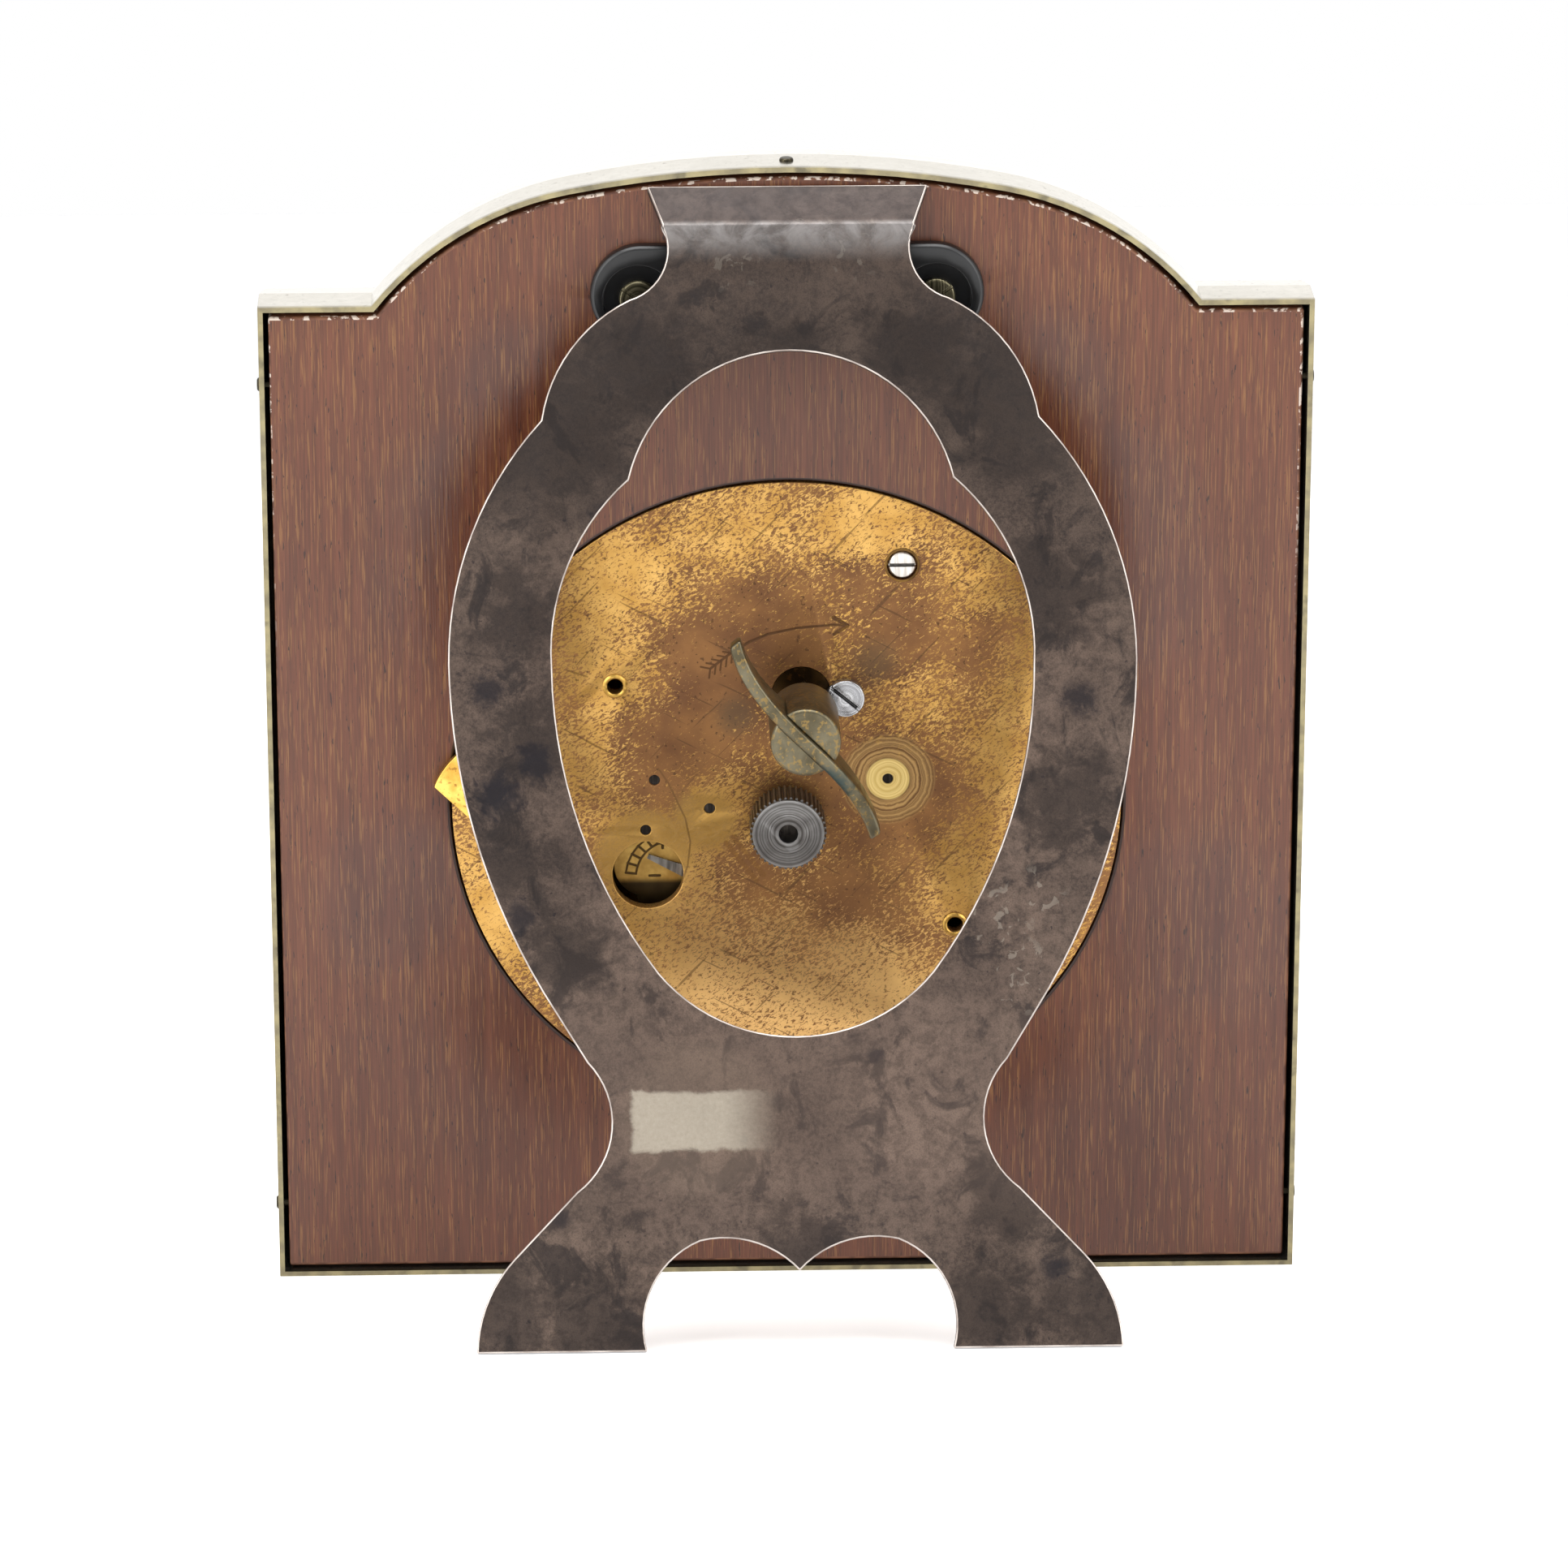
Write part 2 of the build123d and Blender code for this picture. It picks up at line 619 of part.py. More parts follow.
def strut_length():
    """Length from the bend to the feet, so that both feet and the case's back edge are level."""
    plane, up, out = strut_plane()
    bend = plane.origin + up * STRUT_BEND_ABOVE_PIN
    lean = radians(LEAN)
    stance = radians(STRUT_OPENING - LEAN)
    height = bend.Z * cos(lean) - bend.Y * sin(lean)
    return (height - STRUT_THICKNESS / 2 * sin(stance)) / cos(stance)


def strut_point(share):
    """A point given in shares, in the strut's plane."""
    length = strut_length()
    return (share[0] * STRUT_HALF_WIDTH, share[1] * length + STRUT_BEND_ABOVE_PIN - length)


def chain(start, rows):
    """Straight edges and arcs, one after the other, in the strut's plane."""
    edges = []
    for row in rows:
        points = [start] + row
        edges.append(Line(*points) if len(row) == 1 else ThreePointArc(*points))
        start = row[-1]
    return edges


def both_halves(start_share, share_rows):
    """Edges of one half and their mirror image."""
    start = strut_point(start_share)
    rows = [[strut_point(share) for share in row] for row in share_rows]
    return chain(start, rows) + chain(mirrored([start])[0], [mirrored(row) for row in rows])


def strut_outline():
    foot = strut_point(STRUT_FOOT_SHARES)
    toe = strut_point(TOE_SHARES)
    top = strut_point(STRUT_EDGE_SHARES[-1][-1])
    edges = both_halves(STRUT_FOOT_SHARES, STRUT_EDGE_SHARES)
    edges += both_halves(TOE_SHARES, FOOT_ARCH_SHARES)
    edges += [Line(foot, toe), Line(*mirrored([foot, toe])), Line(top, mirrored([top])[0])]
    return make_face(Curve() + edges)


def loop_opening():
    notch = strut_point(LOOP_NOTCH_SHARES)
    crown = strut_point(LOOP_CROWN_SHARES)
    edges = both_halves(LOOP_NOTCH_SHARES, LOOP_EDGE_SHARES)
    edges.append(ThreePointArc(notch, crown, mirrored([notch])[0]))
    return make_face(Curve() + edges)


def make_strut():
    plane, up, out = strut_plane()
    half = STRUT_THICKNESS / 2
    blank = strut_outline() - loop_opening()
    sheet = extrude(plane * blank, half, both=True)
    bend = plane.origin + up * STRUT_BEND_ABOVE_PIN
    total = radians(STRUT_OPENING + LIP_TURN)
    lip_up = Vector(0, -sin(total), cos(total))
    lip_out = Vector(0, cos(total), sin(total))
    reach = bend.Y - half * cos(total) + WOOD_RECESS - LIP_GAP
    length = reach / sin(total)
    neck = STRUT_EDGE_SHARES[-1][-1][0] * STRUT_HALF_WIDTH
    side = [(neck, 0.0), (LIP_HALF_WIDTH, length)]
    lip_plane = Plane(bend, x_dir=(-1, 0, 0), z_dir=lip_out)
    lip = make_face(Polyline(side + mirrored(side)[::-1], close=True))
    sheet += extrude(lip_plane * lip, half, both=True)
    roll = Plane(bend - Vector(neck, 0, 0), x_dir=(0, 1, 0), z_dir=(1, 0, 0))
    return sheet + extrude(roll * Circle(half), 2 * neck)


def make_strut_knuckle():
    half = STRUT_KNUCKLE_LENGTH / 2
    plane, up, out = strut_plane()
    centre = plane.origin - out * STRUT_STANDOFF
    leaf_height = STRUT_STANDOFF - STRUT_THICKNESS / 2
    leaf = Plane(centre, x_dir=(-1, 0, 0), z_dir=out) * Rectangle(2 * half, 2 * KNUCKLE_RADIUS)
    knuckle = bar_along_x(KNUCKLE_RADIUS, -half, half) + extrude(leaf, leaf_height)
    return knuckle - bar_along_x(HINGE_PIN_RADIUS + PIVOT_CLEARANCE, -half - OVERRUN, half + OVERRUN)


# Gears


def tooth_points(teeth, pitch_radius, module, phase):
    """Corners of a gear outline with short straight-sided teeth."""
    step = 360 / teeth
    height = TOOTH_HEIGHT_SHARE * module
    depth = TOOTH_ROOT_SHARE * module
    corners = []
    for index in range(teeth):
        middle = phase + index * step
        root = step * TOOTH_ROOT_WIDTH_SHARE / 2
        tip = step * TOOTH_TIP_WIDTH_SHARE / 2
        corners.append(polar(pitch_radius - depth, middle - root))
        corners.append(polar(pitch_radius + height, middle - tip))
        corners.append(polar(pitch_radius + height, middle + tip))
        corners.append(polar(pitch_radius - depth, middle + root))
    return corners


def gear(centre, teeth, pitch_radius, phase, near, thickness):
    """Toothed disc at a depth."""
    module = 2 * pitch_radius / teeth
    points = tooth_points(teeth, pitch_radius, module, phase)
    outline = make_face(Polyline(points, close=True))
    return slab(Pos(*centre) * outline, near, near + thickness)


def crossed_out(centre, radius, near, thickness, phase):
    """Windows between the arms of a wheel."""
    window = Circle(radius * WHEEL_RIM_SHARE) - Circle(radius * WHEEL_HUB_SHARE + ARBOR_RADIUS / 2)
    for index in range(WHEEL_ARMS // 2):
        angle = phase + index * 360 / WHEEL_ARMS
        window -= Rot(0, 0, angle) * Rectangle(2 * radius, 2 * radius * WHEEL_ARM_SHARE)
    return slab(Pos(*centre) * window, near - OVERRUN, near + thickness + OVERRUN)


def wheel(centre, teeth, pitch_radius, phase, near):
    """Crossed-out train wheel."""
    disc = gear(centre, teeth, pitch_radius, phase, near, WHEEL_THICKNESS)
    return disc - crossed_out(centre, pitch_radius, near, WHEEL_THICKNESS, phase)


def mesh_phase(driver, driver_teeth, driver_phase, follower, follower_teeth):
    """Phase that puts a gap of the follower on the driver's tooth, on their line of centres."""
    line = heading(driver, follower)
    share = (line - driver_phase) * driver_teeth / 360
    share -= floor(share)
    return line + 180 + share * 360 / follower_teeth + 180 / follower_teeth


def pitch_radii(first, first_teeth, second, second_teeth):
    """Pitch radii of two gears in mesh, from the distance between their axes."""
    span = distance(first, second)
    total = first_teeth + second_teeth
    return span * first_teeth / total, span * second_teeth / total


def arbor(centre):
    """Arbor between the plates with a pivot at each end."""
    start = PLATE_INSIDE + END_SHAKE
    end = FRONT_PLATE_FACE - END_SHAKE
    bar = rod(centre, ARBOR_RADIUS, start, end)
    bar += rod(centre, PIVOT_RADIUS, end, FRONT_PLATE_OUTSIDE - END_SHAKE)
    return bar + rod(centre, PIVOT_RADIUS, PLATE_FACE + END_SHAKE, start)


CENTRE = plate_point(CENTRE_PLACE)
BARREL = plate_point(BARREL_PLACE)
INTERMEDIATE = plate_point(INTERMEDIATE_PLACE)
THIRD = plate_point(THIRD_PLACE)
FOURTH = plate_point(FOURTH_PLACE)
ESCAPE = plate_point(ESCAPE_PLACE)
PALLET = plate_point(PALLET_PLACE)
BALANCE = plate_point(BALANCE_PLACE)
CLICK = plate_point(CLICK_PLACE)

BARREL_PITCH, INTERMEDIATE_PINION_PITCH = pitch_radii(
    BARREL, BARREL_TEETH, INTERMEDIATE, INTERMEDIATE_PINION_TEETH
)
INTERMEDIATE_PITCH, CENTRE_PINION_PITCH = pitch_radii(
    INTERMEDIATE, INTERMEDIATE_TEETH, CENTRE, CENTRE_PINION_TEETH
)
CENTRE_PITCH, THIRD_PINION_PITCH = pitch_radii(CENTRE, CENTRE_TEETH, THIRD, THIRD_PINION_TEETH)
THIRD_PITCH, FOURTH_PINION_PITCH = pitch_radii(THIRD, THIRD_TEETH, FOURTH, FOURTH_PINION_TEETH)
FOURTH_PITCH, ESCAPE_PINION_PITCH = pitch_radii(FOURTH, FOURTH_TEETH, ESCAPE, ESCAPE_PINION_TEETH)

BARREL_PHASE = 0.0
INTERMEDIATE_PINION_PHASE = mesh_phase(
    BARREL, BARREL_TEETH, BARREL_PHASE, INTERMEDIATE, INTERMEDIATE_PINION_TEETH
)
INTERMEDIATE_PHASE = 0.0
CENTRE_PINION_PHASE = mesh_phase(
    INTERMEDIATE, INTERMEDIATE_TEETH, INTERMEDIATE_PHASE, CENTRE, CENTRE_PINION_TEETH
)
CENTRE_PHASE = 0.0
THIRD_PINION_PHASE = mesh_phase(CENTRE, CENTRE_TEETH, CENTRE_PHASE, THIRD, THIRD_PINION_TEETH)
THIRD_PHASE = 0.0
FOURTH_PINION_PHASE = mesh_phase(THIRD, THIRD_TEETH, THIRD_PHASE, FOURTH, FOURTH_PINION_TEETH)
FOURTH_PHASE = 0.0
ESCAPE_PINION_PHASE = mesh_phase(FOURTH, FOURTH_TEETH, FOURTH_PHASE, ESCAPE, ESCAPE_PINION_TEETH)


# Movement frame


def pillar_centres():
    """Places of the pillars around the plate."""
    middle = (0.0, PLATE_CENTRE_HEIGHT)
    angles = [PILLAR_ANGLE + index * 360 / PILLAR_COUNT for index in range(PILLAR_COUNT)]
    return [shifted(middle, polar(PILLAR_CIRCLE_RADIUS, angle)) for angle in angles]


def cock_foot():
    """Place of the balance cock's foot."""
    return shifted(BALANCE, polar(COCK_FOOT_REACH, COCK_FOOT_ANGLE))


def pallet_cock_foot():
    """Place of the pallet cock's foot, beside the lever."""
    return shifted(PALLET, polar(PALLET_SPAN + 2 * ARBOR_RADIUS, heading(BALANCE, ESCAPE) - 90))


def dial_foot_centres():
    """Places of the two dial feet."""
    return [(side * DIAL_FOOT_PLACE, DIAL_CENTRE_HEIGHT) for side in (-1, 1)]


def make_back_plate():
    centre = (0.0, PLATE_CENTRE_HEIGHT)
    plate = rod(centre, PLATE_RADIUS, PLATE_FACE, PLATE_INSIDE)
    below = PLATE_INSIDE + OVERRUN
    pivot_hole = PIVOT_RADIUS + PIVOT_CLEARANCE
    for place in (INTERMEDIATE, THIRD, FOURTH, ESCAPE):
        plate -= rod(place, pivot_hole, 0, below)
    for place in SPARE_HOLE_PLACES:
        plate -= rod(plate_point(place), SPARE_HOLE_RADIUS, 0, below)
    for place in pillar_centres():
        plate -= rod(place, PILLAR_SCREW_HEAD_RADIUS + BORE_GAP, 0, PLATE_FACE + SCREW_HEAD_THICKNESS)
        plate -= rod(place, SCREW_SHANK_RADIUS + PIVOT_CLEARANCE, 0, below)
    plate -= rod(CENTRE, CANNON_RADIUS + PIVOT_CLEARANCE, 0, below)
    plate -= rod(BARREL, WINDING_HOLE_RADIUS, 0, below)
    plate -= rod(CLICK, CLICK_SCREW_SHANK_RADIUS + PIVOT_CLEARANCE, 0, below)
    plate -= rod(plate_point(DOG_PIVOT), CLICK_SCREW_SHANK_RADIUS + PIVOT_CLEARANCE, 0, below)
    return plate - rod(plate_point(WINDOW_PLACE), WINDOW_RADIUS, 0, below)


def make_front_plate():
    centre = (0.0, PLATE_CENTRE_HEIGHT)
    plate = rod(centre, FRONT_PLATE_RADIUS, FRONT_PLATE_FACE, FRONT_PLATE_OUTSIDE)
    start = FRONT_PLATE_FACE - OVERRUN
    end = FRONT_PLATE_OUTSIDE + OVERRUN
    pivot_hole = PIVOT_RADIUS + PIVOT_CLEARANCE
    for place in (INTERMEDIATE, THIRD, FOURTH, ESCAPE, PALLET, BALANCE, BARREL):
        plate -= rod(place, pivot_hole, start, end)
    plate -= rod(CENTRE, ARBOR_RADIUS + PIVOT_CLEARANCE, start, end)
    screw_hole = SCREW_SHANK_RADIUS + PIVOT_CLEARANCE
    for place in pillar_centres():
        plate -= rod(place, screw_hole, start, end)
    for place in (cock_foot(), pallet_cock_foot()):
        plate -= rod(place, PIVOT_RADIUS + PIVOT_CLEARANCE, start, end)
    for place in dial_foot_centres():
        plate -= rod(place, DIAL_FOOT_RADIUS + PIVOT_CLEARANCE, start, end)
    return plate - rod(minute_place(), PIVOT_RADIUS + PIVOT_CLEARANCE, start, end)


def make_plate_pillars():
    hole = SCREW_SHANK_RADIUS + PIVOT_CLEARANCE
    places = pillar_centres()
    return group(ring(place, PILLAR_RADIUS, hole, PLATE_INSIDE, FRONT_PLATE_FACE) for place in places)


def make_pillar_screws():
    screws = []
    seat = PLATE_FACE + SCREW_HEAD_THICKNESS
    for place in pillar_centres():
        head = slotted_head(place, PILLAR_SCREW_HEAD_RADIUS, PLATE_FACE, seat, 0)
        screws.append(head + rod(place, SCREW_SHANK_RADIUS, seat, seat + PILLAR_SCREW_LENGTH))
        outer = FRONT_PLATE_OUTSIDE + SCREW_HEAD_THICKNESS
        front = rod(place, PILLAR_SCREW_HEAD_RADIUS, FRONT_PLATE_OUTSIDE, outer)
        end = FRONT_PLATE_OUTSIDE - PILLAR_SCREW_LENGTH
        screws.append(front + rod(place, SCREW_SHANK_RADIUS, end, FRONT_PLATE_OUTSIDE))
    return group(screws)


def make_fixing_dog():
    tip = plate_point(DOG_TIP)
    crest, top = [plate_point(place) for place in DOG_BACK_EDGE]
    heel, toe = [plate_point(place) for place in DOG_EYE_EDGE]
    edges = [ThreePointArc(tip, crest, top), ThreePointArc(top, heel, toe), Line(toe, tip)]
    plate = slab(make_face(Curve() + edges), PLATE_FACE - DOG_THICKNESS, PLATE_FACE)
    hole = CLICK_SCREW_SHANK_RADIUS + PIVOT_CLEARANCE
    return plate - rod(plate_point(DOG_PIVOT), hole, -DOG_THICKNESS - OVERRUN, PLATE_FACE + OVERRUN)


def make_fixing_dog_screw():
    eye = plate_point(DOG_PIVOT)
    seat = PLATE_FACE - DOG_THICKNESS
    head = slotted_head(eye, DOG_SCREW_RADIUS, seat - SCREW_HEAD_THICKNESS, seat, DOG_SLOT_ANGLE)
    return head + rod(eye, CLICK_SCREW_SHANK_RADIUS, seat, PLATE_INSIDE)


# Winding work


def make_winding_arbor():
    start = PLATE_INSIDE + END_SHAKE
    end = FRONT_PLATE_FACE - END_SHAKE
    arbor_bar = rod(BARREL, WINDING_ARBOR_RADIUS, start, end)
    arbor_bar += rod(BARREL, PIVOT_RADIUS, end, FRONT_PLATE_OUTSIDE - END_SHAKE)
    arbor_bar += rod(BARREL, WINDING_HOLE_RADIUS - PIVOT_CLEARANCE, PLATE_FACE, start)
    square = Pos(*BARREL) * Rot(0, 0, KEY_ANGLE) * Rectangle(WINDING_SQUARE, WINDING_SQUARE)
    return arbor_bar + slab(square, -WINDING_SQUARE_END, start)


def make_ratchet_wheel():
    """Saw-toothed wheel on the winding arbor, just under the back plate."""
    step = 360 / RATCHET_TEETH
    points = []
    for index in range(RATCHET_TEETH):
        points.append(polar(RATCHET_RADIUS - RATCHET_TOOTH, index * step))
        points.append(polar(RATCHET_RADIUS, index * step))
    outline = Pos(*BARREL) * make_face(Polyline(points, close=True))
    disc = slab(outline, RATCHET_LEVEL, RATCHET_LEVEL + RATCHET_THICKNESS)
    return disc - rod(BARREL, WINDING_ARBOR_RADIUS, 0, FRONT_PLATE_FACE)


def click_nose():
    """Point of the click: in a gap of the ratchet, just clear of its radial tooth face."""
    step = 360 / RATCHET_TEETH
    target = heading(BARREL, CLICK) - CLICK_REST_TURN
    face = step * ceil(target / step)
    radius = RATCHET_RADIUS - RATCHET_TOOTH * CLICK_DEPTH_SHARE
    return shifted(BARREL, polar(radius, face - step * CLICK_LAG_SHARE))


def make_click():
    nose = click_nose()
    line = heading(CLICK, nose)
    one = shifted(CLICK, polar(CLICK_RADIUS * CLICK_BLADE_SHARE, line + 90))
    two = shifted(CLICK, polar(CLICK_RADIUS * CLICK_BLADE_SHARE, line - 90))
    outline = make_face(Polyline([one, two, nose], close=True)) + Pos(*CLICK) * Circle(CLICK_RADIUS)
    body = slab(outline, RATCHET_LEVEL, RATCHET_LEVEL + RATCHET_THICKNESS)
    return body - rod(CLICK, CLICK_SCREW_SHANK_RADIUS + PIVOT_CLEARANCE, 0, FRONT_PLATE_FACE)


def make_click_screw():
    top = PLATE_FACE - CLICK_SCREW_HEAD_THICKNESS
    head = slotted_head(CLICK, CLICK_SCREW_HEAD_RADIUS, top, PLATE_FACE, CLICK_SLOT_ANGLE)
    return head + rod(CLICK, CLICK_SCREW_SHANK_RADIUS, PLATE_FACE, RATCHET_LEVEL + RATCHET_THICKNESS)


def make_click_spring():
    """Bent wire spring screwed under the plate, its end beside the click."""
    line = heading(CLICK, click_nose())
    side = shifted(CLICK, polar(CLICK_RADIUS + CLICK_SPRING_THICKNESS + LEVEL_GAP, line + 90))
    start = shifted(side, polar(CLICK_RADIUS, line))
    middle = shifted(side, polar(CLICK_RADIUS, line + 180))
    end = shifted(middle, polar(2 * CLICK_RADIUS, line + CLICK_SPRING_TURN))
    path = Polyline(start, middle, end)
    blade = trace(path, CLICK_SPRING_THICKNESS)
    spring = slab(blade, RATCHET_LEVEL, RATCHET_LEVEL + RATCHET_THICKNESS)
    return spring + rod(end, CLICK_RADIUS / 2, PLATE_INSIDE, RATCHET_LEVEL + RATCHET_THICKNESS)


def make_mainspring_barrel():
    end = BARREL_LEVEL + BARREL_HEIGHT
    body_radius = BARREL_PITCH - WHEEL_THICKNESS
    shell = rod(BARREL, body_radius, BARREL_LEVEL, end)
    shell += gear(BARREL, BARREL_TEETH, BARREL_PITCH, BARREL_PHASE, BARREL_TOOTH_LEVEL, WHEEL_THICKNESS)
    cavity_end = end - BARREL_WALL
    shell -= rod(BARREL, body_radius - BARREL_WALL, BARREL_LEVEL - OVERRUN, cavity_end)
    return shell - rod(BARREL, WINDING_ARBOR_RADIUS + PIVOT_CLEARANCE, 0, FRONT_PLATE_FACE)


def make_barrel_cover():
    radius = BARREL_PITCH - WHEEL_THICKNESS - BARREL_WALL
    hole = WINDING_ARBOR_RADIUS + PIVOT_CLEARANCE
    return ring(BARREL, radius, hole, BARREL_LEVEL, BARREL_LEVEL + BARREL_COVER_THICKNESS)


def spiral_strip(centre, inner, outer, turns, thickness, near, height):
    """Flat spiral of even pitch, as half-circle arcs with a wall of the given thickness."""
    rise = (outer - inner - thickness) / (2 * turns)
    strip = None
    for half in range(2 * turns):
        radius = inner + rise * half + rise / 2
        shift = rise / 2 if half % 2 else -rise / 2
        band = Circle(radius + thickness) - Circle(radius)
        side = 1 if half % 2 == 0 else -1
        keep = Pos(0, side * 2 * outer) * Rectangle(4 * outer, 4 * outer)
        arc_band = Pos(shift, 0) * band & keep
        strip = arc_band if strip is None else strip + arc_band
    return slab(Pos(*centre) * strip, near, near + height)


def make_mainspring():
    inner = WINDING_ARBOR_RADIUS + BARREL_WALL
    outer = BARREL_PITCH - WHEEL_THICKNESS - BARREL_WALL - PIVOT_CLEARANCE
    near = BARREL_LEVEL + BARREL_COVER_THICKNESS + PIVOT_CLEARANCE
    height = BARREL_HEIGHT - BARREL_COVER_THICKNESS - BARREL_WALL - 2 * PIVOT_CLEARANCE
    return spiral_strip(BARREL, inner, outer, MAINSPRING_TURNS, MAINSPRING_THICKNESS, near, height)


def make_key_pipe():
    pipe = rod(BARREL, KEY_PIPE_RADIUS, -KEY_PIPE_END, -KEY_PIPE_START)
    ends = pipe.edges().filter_by(GeomType.CIRCLE).sort_by(Axis.Y)
    pipe = chamfer([ends[0], ends[-1]], KEY_CHAMFER)
    hole = WINDING_SQUARE + 2 * PIVOT_CLEARANCE
    square = Pos(*BARREL) * Rot(0, 0, KEY_ANGLE) * Rectangle(hole, hole)
    pipe -= slab(square, -WINDING_SQUARE_END - PIVOT_CLEARANCE, 0)
    slot = wing_plan(KEY_WING_THICKNESS)
    return pipe - slab(slot, -KEY_PIPE_END - OVERRUN, KEY_WING_HEIGHT - KEY_WING_TOP)


def wing_plan(thickness):
    """Swayed strip of the key's wing, seen along the pipe."""
    half = KEY_WING_SPAN / 2
    bend = half * KEY_WING_SWAY_SHARE
    sway = KEY_WING_SWAY
    edge = [(-half, 0), (-bend, sway), (0, 0), (bend, -sway), (half, 0)]
    upper = Spline([(x, y + thickness / 2) for x, y in edge])
    lower = Spline([(x, y - thickness / 2) for x, y in edge])
    sides = [Line(upper @ 0, lower @ 0), Line(upper @ 1, lower @ 1)]
    return Pos(*BARREL) * Rot(0, 0, KEY_ANGLE) * make_face(Curve() + [upper, lower] + sides)


def make_key_wing():
    """Flat wing with rounded shoulders, its lower edge cut away towards the tips."""
    strip = wing_plan(KEY_WING_THICKNESS - PIVOT_CLEARANCE)
    blade = slab(strip, -KEY_WING_TOP, KEY_WING_HEIGHT - KEY_WING_TOP)
    half = KEY_WING_SPAN / 2
    low = KEY_WING_TOP - KEY_WING_HEIGHT
    tip = KEY_WING_TOP - KEY_WING_HEIGHT * KEY_WING_TIP_SHARE
    crown = KEY_WING_TOP
    shoulder = KEY_WING_TOP - KEY_WING_HEIGHT * (1 - KEY_WING_TIP_SHARE) / 2
    upper = ThreePointArc((-half, shoulder), (0, crown), (half, shoulder))
    lower = [
        Line((half, shoulder), (half, tip)),
        Line((half, tip), (KEY_PIPE_RADIUS, low)),
        Line((KEY_PIPE_RADIUS, low), (-KEY_PIPE_RADIUS, low)),
        Line((-KEY_PIPE_RADIUS, low), (-half, tip)),
        Line((-half, tip), (-half, shoulder)),
    ]
    side_face = make_face(Curve() + [upper] + lower)
    turn = radians(KEY_ANGLE)
    along = (cos(turn), 0, sin(turn))
    across = (-sin(turn), 0, cos(turn))
    plane = Plane((BARREL[0], 0, BARREL[1]), x_dir=along, z_dir=across)
    return blade & extrude(plane * side_face, KEY_PIPE_RADIUS, both=True)


# Going train


def bored(part, centre, radius):
    """The same part with a hole right through it."""
    return part - rod(centre, radius, PLATE_FACE - OVERRUN, CASE_DEPTH + OVERRUN)


def make_intermediate_pinion():
    start = BARREL_TOOTH_LEVEL - LEVEL_GAP
    pinion = (INTERMEDIATE_PINION_TEETH, INTERMEDIATE_PINION_PITCH, INTERMEDIATE_PINION_PHASE)
    return arbor(INTERMEDIATE) + gear(INTERMEDIATE, *pinion, start, PINION_LENGTH)


def make_intermediate_wheel():
    teeth = (INTERMEDIATE_TEETH, INTERMEDIATE_PITCH, INTERMEDIATE_PHASE)
    return bored(wheel(INTERMEDIATE, *teeth, INTERMEDIATE_LEVEL), INTERMEDIATE, ARBOR_RADIUS)


def make_centre_pinion():
    """Pinion on a pipe that grips the centre arbor, so that the hands can be set."""
    start = INTERMEDIATE_LEVEL - LEVEL_GAP
    pinion = (CENTRE_PINION_TEETH, CENTRE_PINION_PITCH, CENTRE_PINION_PHASE)
    pipe = rod(CENTRE, CENTRE_PIPE_RADIUS, start, CENTRE_LEVEL + WHEEL_THICKNESS)
    pipe += gear(CENTRE, *pinion, start, PINION_LENGTH)
    return bored(pipe, CENTRE, ARBOR_RADIUS + PIVOT_CLEARANCE)


def make_centre_wheel():
    disc = wheel(CENTRE, CENTRE_TEETH, CENTRE_PITCH, CENTRE_PHASE, CENTRE_LEVEL)
    return bored(disc, CENTRE, CENTRE_PIPE_RADIUS)


def make_third_pinion():
    start = CENTRE_LEVEL + WHEEL_THICKNESS + END_SHAKE - PINION_LENGTH
    pinion = (THIRD_PINION_TEETH, THIRD_PINION_PITCH, THIRD_PINION_PHASE)
    return arbor(THIRD) + gear(THIRD, *pinion, start, PINION_LENGTH - END_SHAKE)


def make_third_wheel():
    disc = wheel(THIRD, THIRD_TEETH, THIRD_PITCH, THIRD_PHASE, THIRD_LEVEL)
    return bored(disc, THIRD, ARBOR_RADIUS)


def make_fourth_pinion():
    pinion = (FOURTH_PINION_TEETH, FOURTH_PINION_PITCH, FOURTH_PINION_PHASE)
    return arbor(FOURTH) + gear(FOURTH, *pinion, THIRD_LEVEL - END_SHAKE, PINION_LENGTH)


def make_fourth_wheel():
    disc = wheel(FOURTH, FOURTH_TEETH, FOURTH_PITCH, FOURTH_PHASE, FOURTH_LEVEL)
    return bored(disc, FOURTH, ARBOR_RADIUS)


def make_escape_pinion():
    pinion = (ESCAPE_PINION_TEETH, ESCAPE_PINION_PITCH, ESCAPE_PINION_PHASE)
    return arbor(ESCAPE) + gear(ESCAPE, *pinion, FOURTH_LEVEL - END_SHAKE, PINION_LENGTH)


def make_escape_wheel():
    """Wheel with hooked teeth."""
    step = 360 / ESCAPE_TEETH
    points = []
    for index in range(ESCAPE_TEETH):
        angle = index * step
        points.append(polar(ESCAPE_RADIUS - ESCAPE_TOOTH, angle))
        points.append(polar(ESCAPE_RADIUS, angle - step * ESCAPE_TIP_SHARE))
        points.append(polar(ESCAPE_RADIUS, angle - step * ESCAPE_HEEL_SHARE))
        points.append(polar(ESCAPE_RADIUS - ESCAPE_TOOTH, angle + step * ESCAPE_ROOT_SHARE))
    outline = Pos(*ESCAPE) * make_face(Polyline(points, close=True))
    return bored(slab(outline, LEVER_LEVEL, LEVER_LEVEL + WHEEL_THICKNESS), ESCAPE, ARBOR_RADIUS)


def lever_frame():
    """Drawing frame with its origin on the pallet arbor and X towards the balance."""
    return Pos(*PALLET) * Rot(0, 0, heading(PALLET, BALANCE))


